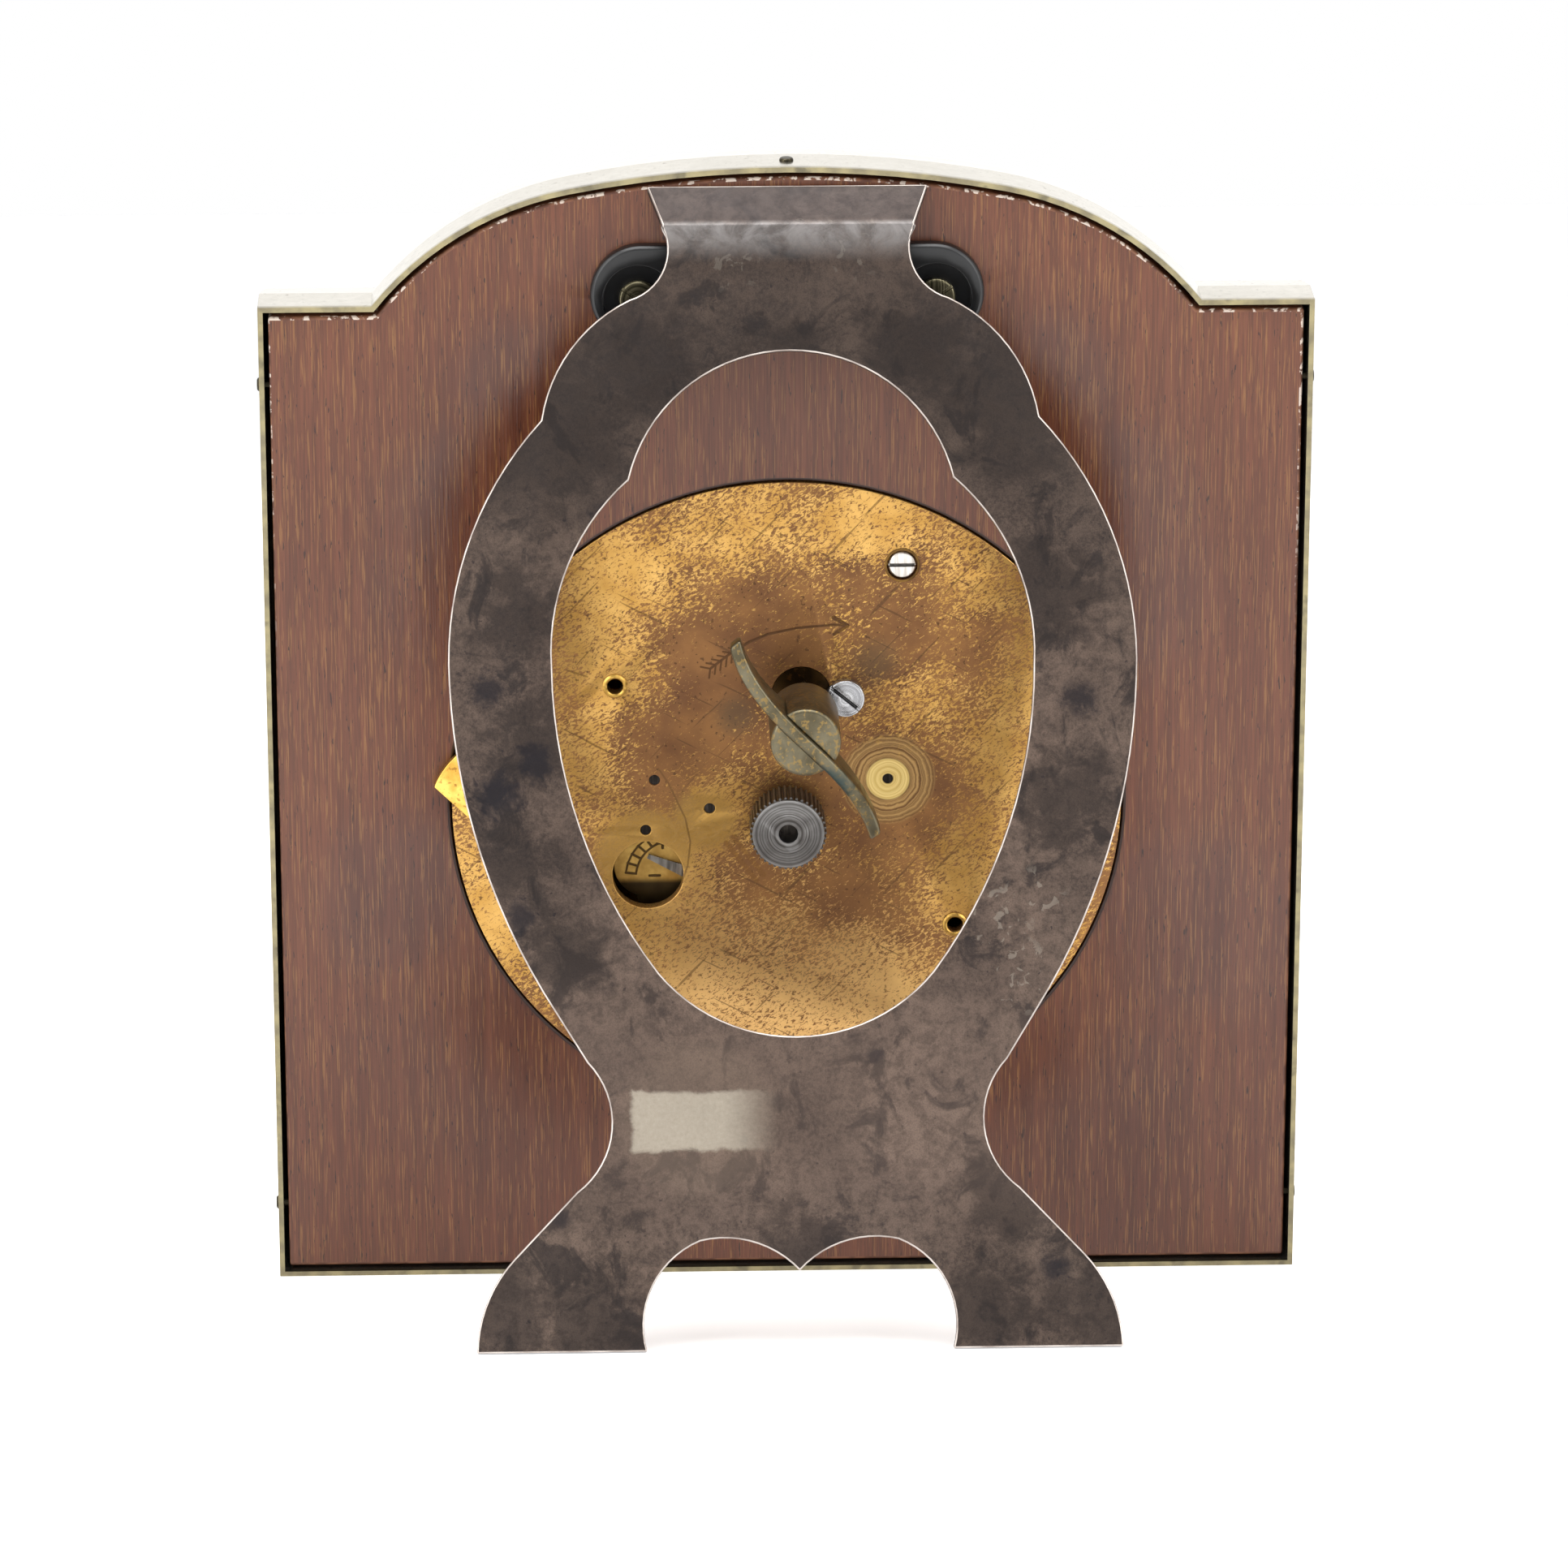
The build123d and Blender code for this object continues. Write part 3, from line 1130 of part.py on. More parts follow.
def make_pallet_lever():
    """Anchor, lever and forked end, with two pallets that straddle the escape wheel."""
    length = distance(PALLET, BALANCE) - ROLLER_RADIUS
    reach = distance(PALLET, ESCAPE)
    half = LEVER_WIDTH / 2
    bar = Pos(length / 2, 0) * Rectangle(length, LEVER_WIDTH)
    fork = Pos(length, 0) * Rectangle(LEVER_HORN, FORK_WIDTH)
    fork -= Pos(length + half, 0) * Rectangle(LEVER_HORN, LEVER_WIDTH)
    arms = Rectangle(ANCHOR_WIDTH, 2 * PALLET_SPAN)
    anchor = bar + fork + arms + Circle(ARBOR_RADIUS + PALLET_HUB_WALL)
    for side in (-1, 1):
        stone = Pos(-(reach - ESCAPE_RADIUS) / 2, side * (PALLET_SPAN - half)) * Rectangle(
            reach - ESCAPE_RADIUS + LEVER_WIDTH, LEVER_WIDTH
        )
        anchor += stone
    body = slab(lever_frame() * anchor, LEVER_LEVEL, LEVER_LEVEL + WHEEL_THICKNESS)
    return bored(body, PALLET, ARBOR_RADIUS)


def make_pallet_arbor():
    staff = rod(PALLET, ARBOR_RADIUS, LEVER_LEVEL - END_SHAKE, FRONT_PLATE_FACE - END_SHAKE)
    staff += rod(PALLET, PIVOT_RADIUS, FRONT_PLATE_FACE - END_SHAKE, FRONT_PLATE_OUTSIDE - END_SHAKE)
    return staff + rod(PALLET, PIVOT_RADIUS, LEVER_LEVEL - WHEEL_THICKNESS, LEVER_LEVEL - END_SHAKE)


def make_pallet_cock():
    """Small bridge that carries the pallet arbor's upper pivot."""
    foot = pallet_cock_foot()
    near = LEVER_LEVEL - WHEEL_THICKNESS
    far = LEVER_LEVEL - END_SHAKE - PIVOT_CLEARANCE
    span = trace(Line(PALLET, foot), 2 * ARBOR_RADIUS)
    cock = slab(span, near, far) + rod(PALLET, ARBOR_RADIUS, near, far)
    cock += rod(foot, ARBOR_RADIUS, near, FRONT_PLATE_FACE)
    cock += rod(foot, PIVOT_RADIUS, FRONT_PLATE_FACE, FRONT_PLATE_OUTSIDE)
    return cock - rod(PALLET, PIVOT_RADIUS + PIVOT_CLEARANCE, 0, FRONT_PLATE_OUTSIDE)


def make_balance_wheel():
    rim = Circle(BALANCE_RADIUS) - Circle(BALANCE_RADIUS - BALANCE_RIM)
    arm = Rectangle(2 * BALANCE_RADIUS - BALANCE_RIM, BALANCE_RIM)
    hub = Circle(ARBOR_RADIUS * 2)
    frame = rim + arm + hub
    body = slab(Pos(*BALANCE) * frame, BALANCE_LEVEL, BALANCE_LEVEL + BALANCE_THICKNESS)
    return body - rod(BALANCE, ARBOR_RADIUS, 0, FRONT_PLATE_FACE)


def make_balance_staff():
    near = COCK_LEVEL + COCK_THICKNESS + END_SHAKE
    end = FRONT_PLATE_FACE - END_SHAKE
    staff = rod(BALANCE, ARBOR_RADIUS, near, end)
    staff += rod(BALANCE, PIVOT_RADIUS, COCK_LEVEL + END_SHAKE, near)
    staff += rod(BALANCE, PIVOT_RADIUS, end, FRONT_PLATE_OUTSIDE - END_SHAKE)
    roller = LEVER_LEVEL + WHEEL_THICKNESS + END_SHAKE
    return staff + rod(BALANCE, ROLLER_RADIUS, roller, roller + WHEEL_THICKNESS)


def make_hairspring():
    return spiral_strip(
        BALANCE,
        HAIRSPRING_INNER_RADIUS,
        HAIRSPRING_OUTER_RADIUS,
        HAIRSPRING_TURNS,
        HAIRSPRING_THICKNESS,
        HAIRSPRING_LEVEL,
        HAIRSPRING_HEIGHT,
    ) + hairspring_collet()


def hairspring_collet():
    """Collet that holds the spring's inner end on the staff."""
    outer = HAIRSPRING_INNER_RADIUS + HAIRSPRING_THICKNESS
    end = HAIRSPRING_LEVEL + HAIRSPRING_HEIGHT
    return ring(BALANCE, outer, ARBOR_RADIUS, HAIRSPRING_LEVEL, end)


def make_hairspring_stud():
    place = shifted(BALANCE, polar(HAIRSPRING_OUTER_RADIUS + STUD_RADIUS + LEVEL_GAP, 180))
    return rod(place, STUD_RADIUS, COCK_LEVEL + COCK_THICKNESS, HAIRSPRING_LEVEL + HAIRSPRING_HEIGHT)


def make_balance_cock():
    foot = cock_foot()
    near = COCK_LEVEL
    far = COCK_LEVEL + COCK_THICKNESS
    table = rod(BALANCE, COCK_RADIUS, near, far) + rod(foot, COCK_FOOT_RADIUS, near, FRONT_PLATE_FACE)
    table += slab(trace(Line(BALANCE, foot), 2 * COCK_FOOT_RADIUS), near, far)
    table += rod(BALANCE, COCK_BOSS_RADIUS, INDEX_LEVEL, near)
    table -= rod(BALANCE, PIVOT_RADIUS + PIVOT_CLEARANCE, 0, FRONT_PLATE_FACE)
    hole = SCREW_SHANK_RADIUS + PIVOT_CLEARANCE
    table -= rod(foot, hole, 0, near + COCK_THICKNESS + PILLAR_SCREW_LENGTH)
    return table + rod(foot, PIVOT_RADIUS, FRONT_PLATE_FACE, FRONT_PLATE_OUTSIDE)


def make_balance_cock_screw():
    foot = cock_foot()
    near = COCK_LEVEL - SCREW_HEAD_THICKNESS
    head = slotted_head(foot, COCK_SCREW_HEAD_RADIUS, near, COCK_LEVEL, COCK_SLOT_ANGLE)
    return head + rod(foot, SCREW_SHANK_RADIUS, COCK_LEVEL, COCK_LEVEL + PILLAR_SCREW_LENGTH)


def make_regulator_index():
    """Steel index on the cock, its pointer under the window in the plate."""
    hole = COCK_BOSS_RADIUS + PIVOT_CLEARANCE
    shape = Circle(INDEX_RING_RADIUS)
    tail = INDEX_RING_RADIUS / 2
    tip = INDEX_WIDTH / 4
    points = [(0, INDEX_WIDTH), (INDEX_LENGTH, tip), (INDEX_LENGTH, -tip), (0, -INDEX_WIDTH)]
    shape += make_face(Polyline(points, close=True))
    shape += Pos(-INDEX_RING_RADIUS, 0) * Circle(tail)
    shape -= Circle(hole)
    placed = Pos(*BALANCE) * Rot(0, 0, INDEX_ANGLE) * shape
    return slab(placed, INDEX_LEVEL, COCK_LEVEL)


# Setting work, dial and hands


def minute_place():
    """Axis of the minute wheel, where both pairs of the motion work share one centre distance."""
    return shifted(CENTRE, polar(MINUTE_WHEEL_DISTANCE, MINUTE_WHEEL_ANGLE))


def make_centre_arbor():
    start = -KNOB_START - KNOB_HEIGHT + KNOB_HOLE_DEPTH
    bar = rod(CENTRE, CANNON_RADIUS, start, PLATE_INSIDE + END_SHAKE)
    return bar + rod(CENTRE, ARBOR_RADIUS, PLATE_INSIDE + END_SHAKE, cannon_end())


def cannon_end():
    """Depth where the cannon pinion's pipe ends, under the minute hand's nut."""
    return hour_hand_depth() + 2 * HAND_THICKNESS + HAND_GAP


def hour_hand_depth():
    """Depth of the hour hand's back."""
    return DIAL_FRONT + HAND_GAP


def make_setting_knob():
    step = 360 / KNOB_RIBS
    root = step * KNOB_RIB_ROOT_SHARE / 2
    top = step * KNOB_RIB_TOP_SHARE / 2
    valley = KNOB_RADIUS - KNOB_RIB_DEPTH
    points = []
    for index in range(KNOB_RIBS):
        points.append(polar(valley, index * step - root))
        points.append(polar(KNOB_RADIUS, index * step - top))
        points.append(polar(KNOB_RADIUS, index * step + top))
        points.append(polar(valley, index * step + root))
    end = KNOB_START + KNOB_HEIGHT
    outline = Pos(*CENTRE) * make_face(Polyline(points, close=True))
    knob = slab(outline, -end + KNOB_CHAMFER, -KNOB_START)
    knob += rod(CENTRE, valley, -end, -end + KNOB_CHAMFER)
    knob -= rod(CENTRE, KNOB_HOLE_RADIUS, -end - OVERRUN, -end + KNOB_HOLE_DEPTH)
    return knob - rod(CENTRE, CANNON_RADIUS, -end + KNOB_HOLE_DEPTH - OVERRUN, 0)


def motion_levels():
    """Depths of the minute wheel and of the hour wheel above the front plate."""
    lower = FRONT_PLATE_OUTSIDE + END_SHAKE
    return lower, lower + WHEEL_THICKNESS + END_SHAKE


def make_cannon_pinion():
    lower, upper = motion_levels()
    pitch = pitch_radii(CENTRE, CANNON_TEETH, minute_place(), MINUTE_TEETH)[0]
    body = gear(CENTRE, CANNON_TEETH, pitch, 0.0, lower, WHEEL_THICKNESS)
    body += rod(CENTRE, CANNON_RADIUS, lower, cannon_end() - HAND_THICKNESS)
    return body - rod(CENTRE, ARBOR_RADIUS, 0, cannon_end() + OVERRUN)


def make_minute_wheel():
    lower, upper = motion_levels()
    place = minute_place()
    pitch = pitch_radii(CENTRE, CANNON_TEETH, place, MINUTE_TEETH)[1]
    phase = mesh_phase(CENTRE, CANNON_TEETH, 0.0, place, MINUTE_TEETH)
    body = gear(place, MINUTE_TEETH, pitch, phase, lower, WHEEL_THICKNESS)
    pinion_pitch = pitch_radii(place, MINUTE_PINION_TEETH, CENTRE, HOUR_TEETH)[0]
    body += gear(place, MINUTE_PINION_TEETH, pinion_pitch, 0.0, lower, upper + WHEEL_THICKNESS - lower)
    return body - rod(place, PIVOT_RADIUS + PIVOT_CLEARANCE, 0, DIAL_BACK)


def make_minute_wheel_stud():
    lower, upper = motion_levels()
    place = minute_place()
    return rod(place, PIVOT_RADIUS, FRONT_PLATE_FACE, upper + WHEEL_THICKNESS + END_SHAKE / 2)


def make_hour_wheel():
    lower, upper = motion_levels()
    place = minute_place()
    pitch = pitch_radii(place, MINUTE_PINION_TEETH, CENTRE, HOUR_TEETH)[1]
    phase = mesh_phase(place, MINUTE_PINION_TEETH, 0.0, CENTRE, HOUR_TEETH)
    body = gear(CENTRE, HOUR_TEETH, pitch, phase, upper, WHEEL_THICKNESS)
    body += rod(CENTRE, HOUR_PIPE_RADIUS, upper, hour_hand_depth() + HAND_THICKNESS)
    return body - rod(CENTRE, CANNON_RADIUS + PIVOT_CLEARANCE, 0, CASE_DEPTH + OVERRUN)


def make_dial():
    centre = (0.0, DIAL_CENTRE_HEIGHT)
    return ring(centre, DIAL_RADIUS, DIAL_HOLE_RADIUS, DIAL_BACK, DIAL_FRONT)


def make_dial_feet():
    places = dial_foot_centres()
    return group(rod(place, DIAL_FOOT_RADIUS, FRONT_PLATE_FACE, DIAL_BACK) for place in places)


def hand(length, eye_hole, near, angle):
    """Spade hand: a boss, a tapering shank and a leaf towards the tip."""
    leaf = length * HAND_LEAF_SHARE
    neck = length * HAND_NECK_SHARE
    tip = HAND_TIP_WIDTH / 2
    side = [(HAND_WIDTH / 2, 0.0), (HAND_TIP_WIDTH, neck), (HAND_WIDTH, leaf), (tip, length)]
    outline = make_face(Polyline(side + mirrored(side)[::-1], close=True))
    shape = outline + Circle(HAND_EYE_RADIUS) - Circle(eye_hole)
    return slab(Pos(*CENTRE) * Rot(0, 0, angle) * shape, near, near + HAND_THICKNESS)


def make_hour_hand():
    return hand(HOUR_HAND_LENGTH, HOUR_PIPE_RADIUS, hour_hand_depth(), HOUR_HAND_ANGLE)


def make_minute_hand():
    near = hour_hand_depth() + HAND_THICKNESS + HAND_GAP
    return hand(MINUTE_HAND_LENGTH, ARBOR_RADIUS, near, MINUTE_HAND_ANGLE)


def make_hand_nut():
    near = cannon_end()
    nut = rod(CENTRE, HAND_NUT_RADIUS, near, near + HAND_NUT_THICKNESS)
    return fillet(nut.edges().filter_by(GeomType.CIRCLE).sort_by(Axis.Y)[0], HAND_NUT_THICKNESS / 2)


PARTS = {
    "silver_front": make_silver_front,
    "wooden_back": make_wooden_back,
    "case_pins": make_case_pins,
    "front_bezel": make_front_bezel,
    "dial_glass": make_dial_glass,
    "hinge_plate": make_hinge_plate,
    "hinge_plate_screws": make_hinge_plate_screws,
    "hinge_pin": make_hinge_pin,
    "strut": make_strut,
    "strut_knuckle": make_strut_knuckle,
    "back_plate": make_back_plate,
    "front_plate": make_front_plate,
    "plate_pillars": make_plate_pillars,
    "pillar_screws": make_pillar_screws,
    "fixing_dog": make_fixing_dog,
    "fixing_dog_screw": make_fixing_dog_screw,
    "winding_arbor": make_winding_arbor,
    "ratchet_wheel": make_ratchet_wheel,
    "click": make_click,
    "click_screw": make_click_screw,
    "click_spring": make_click_spring,
    "mainspring_barrel": make_mainspring_barrel,
    "barrel_cover": make_barrel_cover,
    "mainspring": make_mainspring,
    "key_pipe": make_key_pipe,
    "key_wing": make_key_wing,
    "intermediate_pinion": make_intermediate_pinion,
    "intermediate_wheel": make_intermediate_wheel,
    "centre_pinion": make_centre_pinion,
    "centre_wheel": make_centre_wheel,
    "third_pinion": make_third_pinion,
    "third_wheel": make_third_wheel,
    "fourth_pinion": make_fourth_pinion,
    "fourth_wheel": make_fourth_wheel,
    "escape_pinion": make_escape_pinion,
    "escape_wheel": make_escape_wheel,
    "pallet_lever": make_pallet_lever,
    "pallet_arbor": make_pallet_arbor,
    "pallet_cock": make_pallet_cock,
    "balance_wheel": make_balance_wheel,
    "balance_staff": make_balance_staff,
    "hairspring": make_hairspring,
    "hairspring_stud": make_hairspring_stud,
    "balance_cock": make_balance_cock,
    "balance_cock_screw": make_balance_cock_screw,
    "regulator_index": make_regulator_index,
    "centre_arbor": make_centre_arbor,
    "setting_knob": make_setting_knob,
    "cannon_pinion": make_cannon_pinion,
    "minute_wheel": make_minute_wheel,
    "minute_wheel_stud": make_minute_wheel_stud,
    "hour_wheel": make_hour_wheel,
    "dial": make_dial,
    "dial_feet": make_dial_feet,
    "hour_hand": make_hour_hand,
    "minute_hand": make_minute_hand,
    "hand_nut": make_hand_nut,
}


def main():
    os.makedirs("parts", exist_ok=True)
    leaned = {name: Rot(-LEAN, 0, 0) * make() for name, make in PARTS.items()}
    boxes = [part.bounding_box() for part in leaned.values()]
    low_x = min(box.min.X for box in boxes)
    high_x = max(box.max.X for box in boxes)
    low_y = min(box.min.Y for box in boxes)
    high_y = max(box.max.Y for box in boxes)
    low_z = min(box.min.Z for box in boxes)
    base = Pos(-(low_x + high_x) / 2, -(low_y + high_y) / 2, -low_z)
    for name, part in leaned.items():
        export_step(base * part, f"parts/{name}.step")
    print("base moved by", base.position)


main()
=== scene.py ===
import bpy
from math import cos, pi, radians, sin
from mathutils import Matrix, Vector


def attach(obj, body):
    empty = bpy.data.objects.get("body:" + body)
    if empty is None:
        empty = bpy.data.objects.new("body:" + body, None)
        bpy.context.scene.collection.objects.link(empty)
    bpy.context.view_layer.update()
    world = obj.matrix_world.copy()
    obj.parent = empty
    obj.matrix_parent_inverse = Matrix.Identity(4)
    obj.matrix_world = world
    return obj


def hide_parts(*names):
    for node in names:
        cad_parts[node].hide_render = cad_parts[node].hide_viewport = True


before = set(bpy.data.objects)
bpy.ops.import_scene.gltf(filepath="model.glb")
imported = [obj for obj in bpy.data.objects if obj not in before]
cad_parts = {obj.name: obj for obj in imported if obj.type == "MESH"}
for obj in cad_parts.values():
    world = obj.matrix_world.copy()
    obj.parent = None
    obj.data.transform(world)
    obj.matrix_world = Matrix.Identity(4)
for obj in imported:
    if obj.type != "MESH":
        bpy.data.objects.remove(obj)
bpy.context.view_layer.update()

# Looks of the easel-back clock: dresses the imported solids, lights them and sets the camera

bpy.ops.object.select_all(action="DESELECT")

MM = 0.001

# The case leans back by this angle, and the strut stands off the upright by this one
CASE_LEAN = radians(13.4)
STRUT_LEAN = radians(8.4)
BASE_SHIFT = 16.1887 * MM
STRUT_FOOT = 28.67 * MM

# Upright frames as a lean and a shift in depth: the case's, and the strut's, counted from its feet
CASE_PLACE = (CASE_LEAN, BASE_SHIFT)
STRUT_PLACE = (-STRUT_LEAN, -STRUT_FOOT)

# Heights of the movement's plate and of the dial, in the case's upright frame, in millimetres
PLATE_HEIGHT = 49.85
DIAL_HEIGHT = 48.2

# Camera, for a square frame
CAMERA_PLACE = (0.02127, 0.7559, 0.1337)
CAMERA_YAW = radians(1.58)
CAMERA_PITCH = radians(6.25)
CAMERA_ROLL = radians(0.40)
CAMERA_LENS = 179.0
SENSOR_WIDTH = 36
NEAREST_SEEN = 0.01

# Lamps: name, place, width, height and power, all aimed at the clock's middle
CLOCK_MIDDLE = (0, 0, 0.05)
SOFTBOXES = [
    ("top_softbox", (0.0, 0.15, 0.75), 0.7, 0.7, 8.5),
    ("left_softbox", (0.75, 0.55, 0.35), 0.5, 0.8, 5.0),
    ("right_softbox", (-0.75, 0.50, 0.30), 0.5, 0.8, 4.0),
    ("front_softbox", (0.0, -0.9, 0.5), 1.8, 1.3, 3.8),
]
SKY_FILL = (0.9, 0.93, 1.0, 1)
SKY_FILL_STRENGTH = 0.22
WHITE = (1, 1, 1, 1)
TABLE_GREY = (0.86, 0.86, 0.86, 1)
TABLE_SIZE = 6
TABLE_GLOW = 0.52


def linear(code):
    """Linear colour of a six-digit display colour."""
    channels = [int(code[at:at + 2], 16) / 255 for at in (0, 2, 4)]
    return tuple(c / 12.92 if c < 0.04045 else ((c + 0.055) / 1.055) ** 2.4 for c in channels) + (1.0,)


def case_point(x, out, up):
    """Point of the shared frame from millimetres in the case's upright frame."""
    y = out * cos(CASE_LEAN) + up * sin(CASE_LEAN)
    z = -out * sin(CASE_LEAN) + up * cos(CASE_LEAN)
    return Vector((x * MM, y * MM - BASE_SHIFT, z * MM))


def on_plate(point):
    """Case place of a point counted from the plate's centre."""
    return (point[0], point[1] + PLATE_HEIGHT)


# Camera, lamps and floor


def make_camera():
    yaw, pitch, roll = CAMERA_YAW, CAMERA_PITCH, CAMERA_ROLL
    forward = Vector((-sin(yaw) * cos(pitch), -cos(yaw) * cos(pitch), -sin(pitch)))
    right = Vector((-cos(yaw), sin(yaw), 0))
    down = forward.cross(right)
    turned_right = cos(roll) * right + sin(roll) * down
    turned_down = cos(roll) * down - sin(roll) * right
    data = bpy.data.cameras.new("camera")
    data.sensor_width = SENSOR_WIDTH
    data.lens = CAMERA_LENS
    data.clip_start = NEAREST_SEEN
    camera = bpy.data.objects.new("camera", data)
    bpy.context.scene.collection.objects.link(camera)
    axes = Matrix((turned_right, -turned_down, -forward)).transposed().to_4x4()
    camera.matrix_world = Matrix.Translation(CAMERA_PLACE) @ axes
    bpy.context.scene.camera = camera


def make_softbox(name, place, width, height, power):
    data = bpy.data.lights.new(name, "AREA")
    data.shape = "RECTANGLE"
    data.size = width
    data.size_y = height
    data.energy = power
    lamp = bpy.data.objects.new(name, data)
    bpy.context.scene.collection.objects.link(lamp)
    lamp.location = place
    lamp.rotation_euler = (Vector(CLOCK_MIDDLE) - Vector(place)).to_track_quat("-Z", "Y").to_euler()


def make_sky():
    """Dim fill for the lighting, and plain white where the sky is seen."""
    world = bpy.data.worlds.new("studio")
    bpy.context.scene.world = world
    world.use_nodes = True
    tree = world.node_tree
    tree.nodes.clear()
    fill = add(tree, "Background", {"Color": SKY_FILL, "Strength": SKY_FILL_STRENGTH})
    white = add(tree, "Background", {"Color": WHITE, "Strength": 1.0})
    sky = add(tree, "MixShader", {0: seen_rays(tree), 1: fill.outputs[0], 2: white.outputs[0]})
    add(tree, "OutputWorld", {"Surface": sky.outputs[0]})


def seen_rays(tree):
    """One for rays from the camera, off a glossy face or through glass, and zero for the rest."""
    rays = tree.nodes.new("ShaderNodeLightPath").outputs
    seen = math(tree, "ADD", rays["Is Camera Ray"], rays["Is Glossy Ray"], clamp=True)
    return math(tree, "ADD", seen, rays["Is Transmission Ray"], clamp=True)


def make_floor():
    """White table that keeps a soft shadow and shows plain white to the camera elsewhere."""
    bpy.ops.mesh.primitive_plane_add(size=TABLE_SIZE, location=(0, 0, 0))
    floor = bpy.context.object
    floor.name = "floor"
    bpy.ops.object.mode_set(mode="EDIT")
    bpy.ops.mesh.subdivide(number_cuts=3)
    bpy.ops.object.mode_set(mode="OBJECT")
    material = bpy.data.materials.new("white_table")
    material.use_nodes = True
    tree = material.node_tree
    shader = tree.nodes["Principled BSDF"]
    shader.inputs["Base Color"].default_value = TABLE_GREY
    shader.inputs["Roughness"].default_value = 0.35
    shader.inputs["Emission Color"].default_value = WHITE
    glow = math(tree, "MULTIPLY", seen_rays(tree), TABLE_GLOW)
    tree.links.new(glow, shader.inputs["Emission Strength"])
    floor.data.materials.append(material)


# Shader nodes


def add(tree, kind, sockets=None, **settings):
    """Shader node with its settings and sockets; a socket's value may be another node's output."""
    node = tree.nodes.new("ShaderNode" + kind)
    for key, value in settings.items():
        setattr(node, key, value)
    for key, value in (sockets or {}).items():
        plug(tree, node.inputs[key], value)
    return node


def use(tree, group, sockets):
    """Outputs of a shader node group placed in a tree with its own values."""
    return add(tree, "Group", sockets, node_tree=group).outputs


def plug(tree, socket, value):
    if isinstance(value, bpy.types.NodeSocket):
        tree.links.new(value, socket)
    else:
        socket.default_value = value


def math(tree, operation, first, second=0.0, clamp=False):
    return add(tree, "Math", {0: first, 1: second}, operation=operation, use_clamp=clamp).outputs[0]


def vector_math(tree, operation, first, second=(0, 0, 0)):
    node = add(tree, "VectorMath", {0: first, 1: second}, operation=operation)
    return node.outputs["Value" if operation in ("DOT_PRODUCT", "LENGTH", "DISTANCE") else "Vector"]


def ramp(tree, value, low, high, start=0.0, end=1.0):
    """Smooth step from start to end as the value goes from low to high."""
    sockets = {"Value": value, "From Min": low, "From Max": high, "To Min": start, "To Max": end}
    return add(tree, "MapRange", sockets, interpolation_type="SMOOTHSTEP").outputs["Result"]


# Shader groups, with their measures in millimetres


def new_group(name, inputs, outputs):
    """Empty shader node group; inputs are (name, socket kind, value) and outputs are names."""
    group = bpy.data.node_groups.new(name, "ShaderNodeTree")
    for title, kind, value in inputs:
        socket = group.interface.new_socket(title, in_out="INPUT", socket_type="NodeSocket" + kind)
        if value is not None:
            socket.default_value = value
    for title in outputs:
        group.interface.new_socket(title, in_out="OUTPUT", socket_type="NodeSocketFloat")
    enter = group.nodes.new("NodeGroupInput").outputs
    leave = group.nodes.new("NodeGroupOutput").inputs
    return group, enter, leave


def from_centre(group, enter, centre="Centre"):
    """Way from a group's centre across the back, with the depth left out."""
    way = vector_math(group, "SUBTRACT", enter["Vector"], enter[centre])
    return vector_math(group, "MULTIPLY", way, (1, 0, 1))


def soft_limits(group, enter, middle):
    """Values on both sides of a group's limit, apart by its softness."""
    low = math(group, "SUBTRACT", enter[middle], enter["Softness"])
    high = math(group, "ADD", enter[middle], enter["Softness"])
    return low, high


def make_blotch_group():
    """Soft-edged patches: noise above a threshold, on coordinates stretched by the spread."""
    group, enter, leave = new_group("Blotches", [
        ("Vector", "Vector", None),
        ("Spread", "Vector", (1, 1, 1)),
        ("Scale", "Float", 1.0),
        ("Detail", "Float", 6.0),
        ("Distortion", "Float", 0.0),
        ("Threshold", "Float", 0.5),
        ("Softness", "Float", 0.1),
        ("Crispness", "Float", 0.5),
    ], ["Mask", "Noise"])
    noise = add(group, "TexNoise", {
        "Vector": vector_math(group, "MULTIPLY", enter["Vector"], enter["Spread"]),
        "Scale": enter["Scale"],
        "Detail": enter["Detail"],
        "Distortion": enter["Distortion"],
        "Roughness": enter["Crispness"],
    }).outputs["Fac"]
    low, high = soft_limits(group, enter, "Threshold")
    plug(group, leave["Mask"], ramp(group, noise, low, high))
    plug(group, leave["Noise"], noise)
    return group


def make_spot_group():
    """Soft round spot about a point, its edge ragged by noise."""
    group, enter, leave = new_group("Spot", [
        ("Vector", "Vector", None),
        ("Centre", "Vector", (0, 0, 0)),
        ("Radius", "Float", 1.0),
        ("Softness", "Float", 0.5),
        ("Raggedness", "Float", 0.0),
        ("Noise", "Float", 0.5),
    ], ["Mask", "Distance"])
    away = vector_math(group, "LENGTH", from_centre(group, enter))
    stir = math(group, "MULTIPLY", math(group, "SUBTRACT", enter["Noise"], 0.5), enter["Raggedness"])
    edge = math(group, "ADD", away, stir)
    low, high = soft_limits(group, enter, "Radius")
    plug(group, leave["Mask"], ramp(group, edge, low, high, 1.0, 0.0))
    plug(group, leave["Distance"], away)
    return group


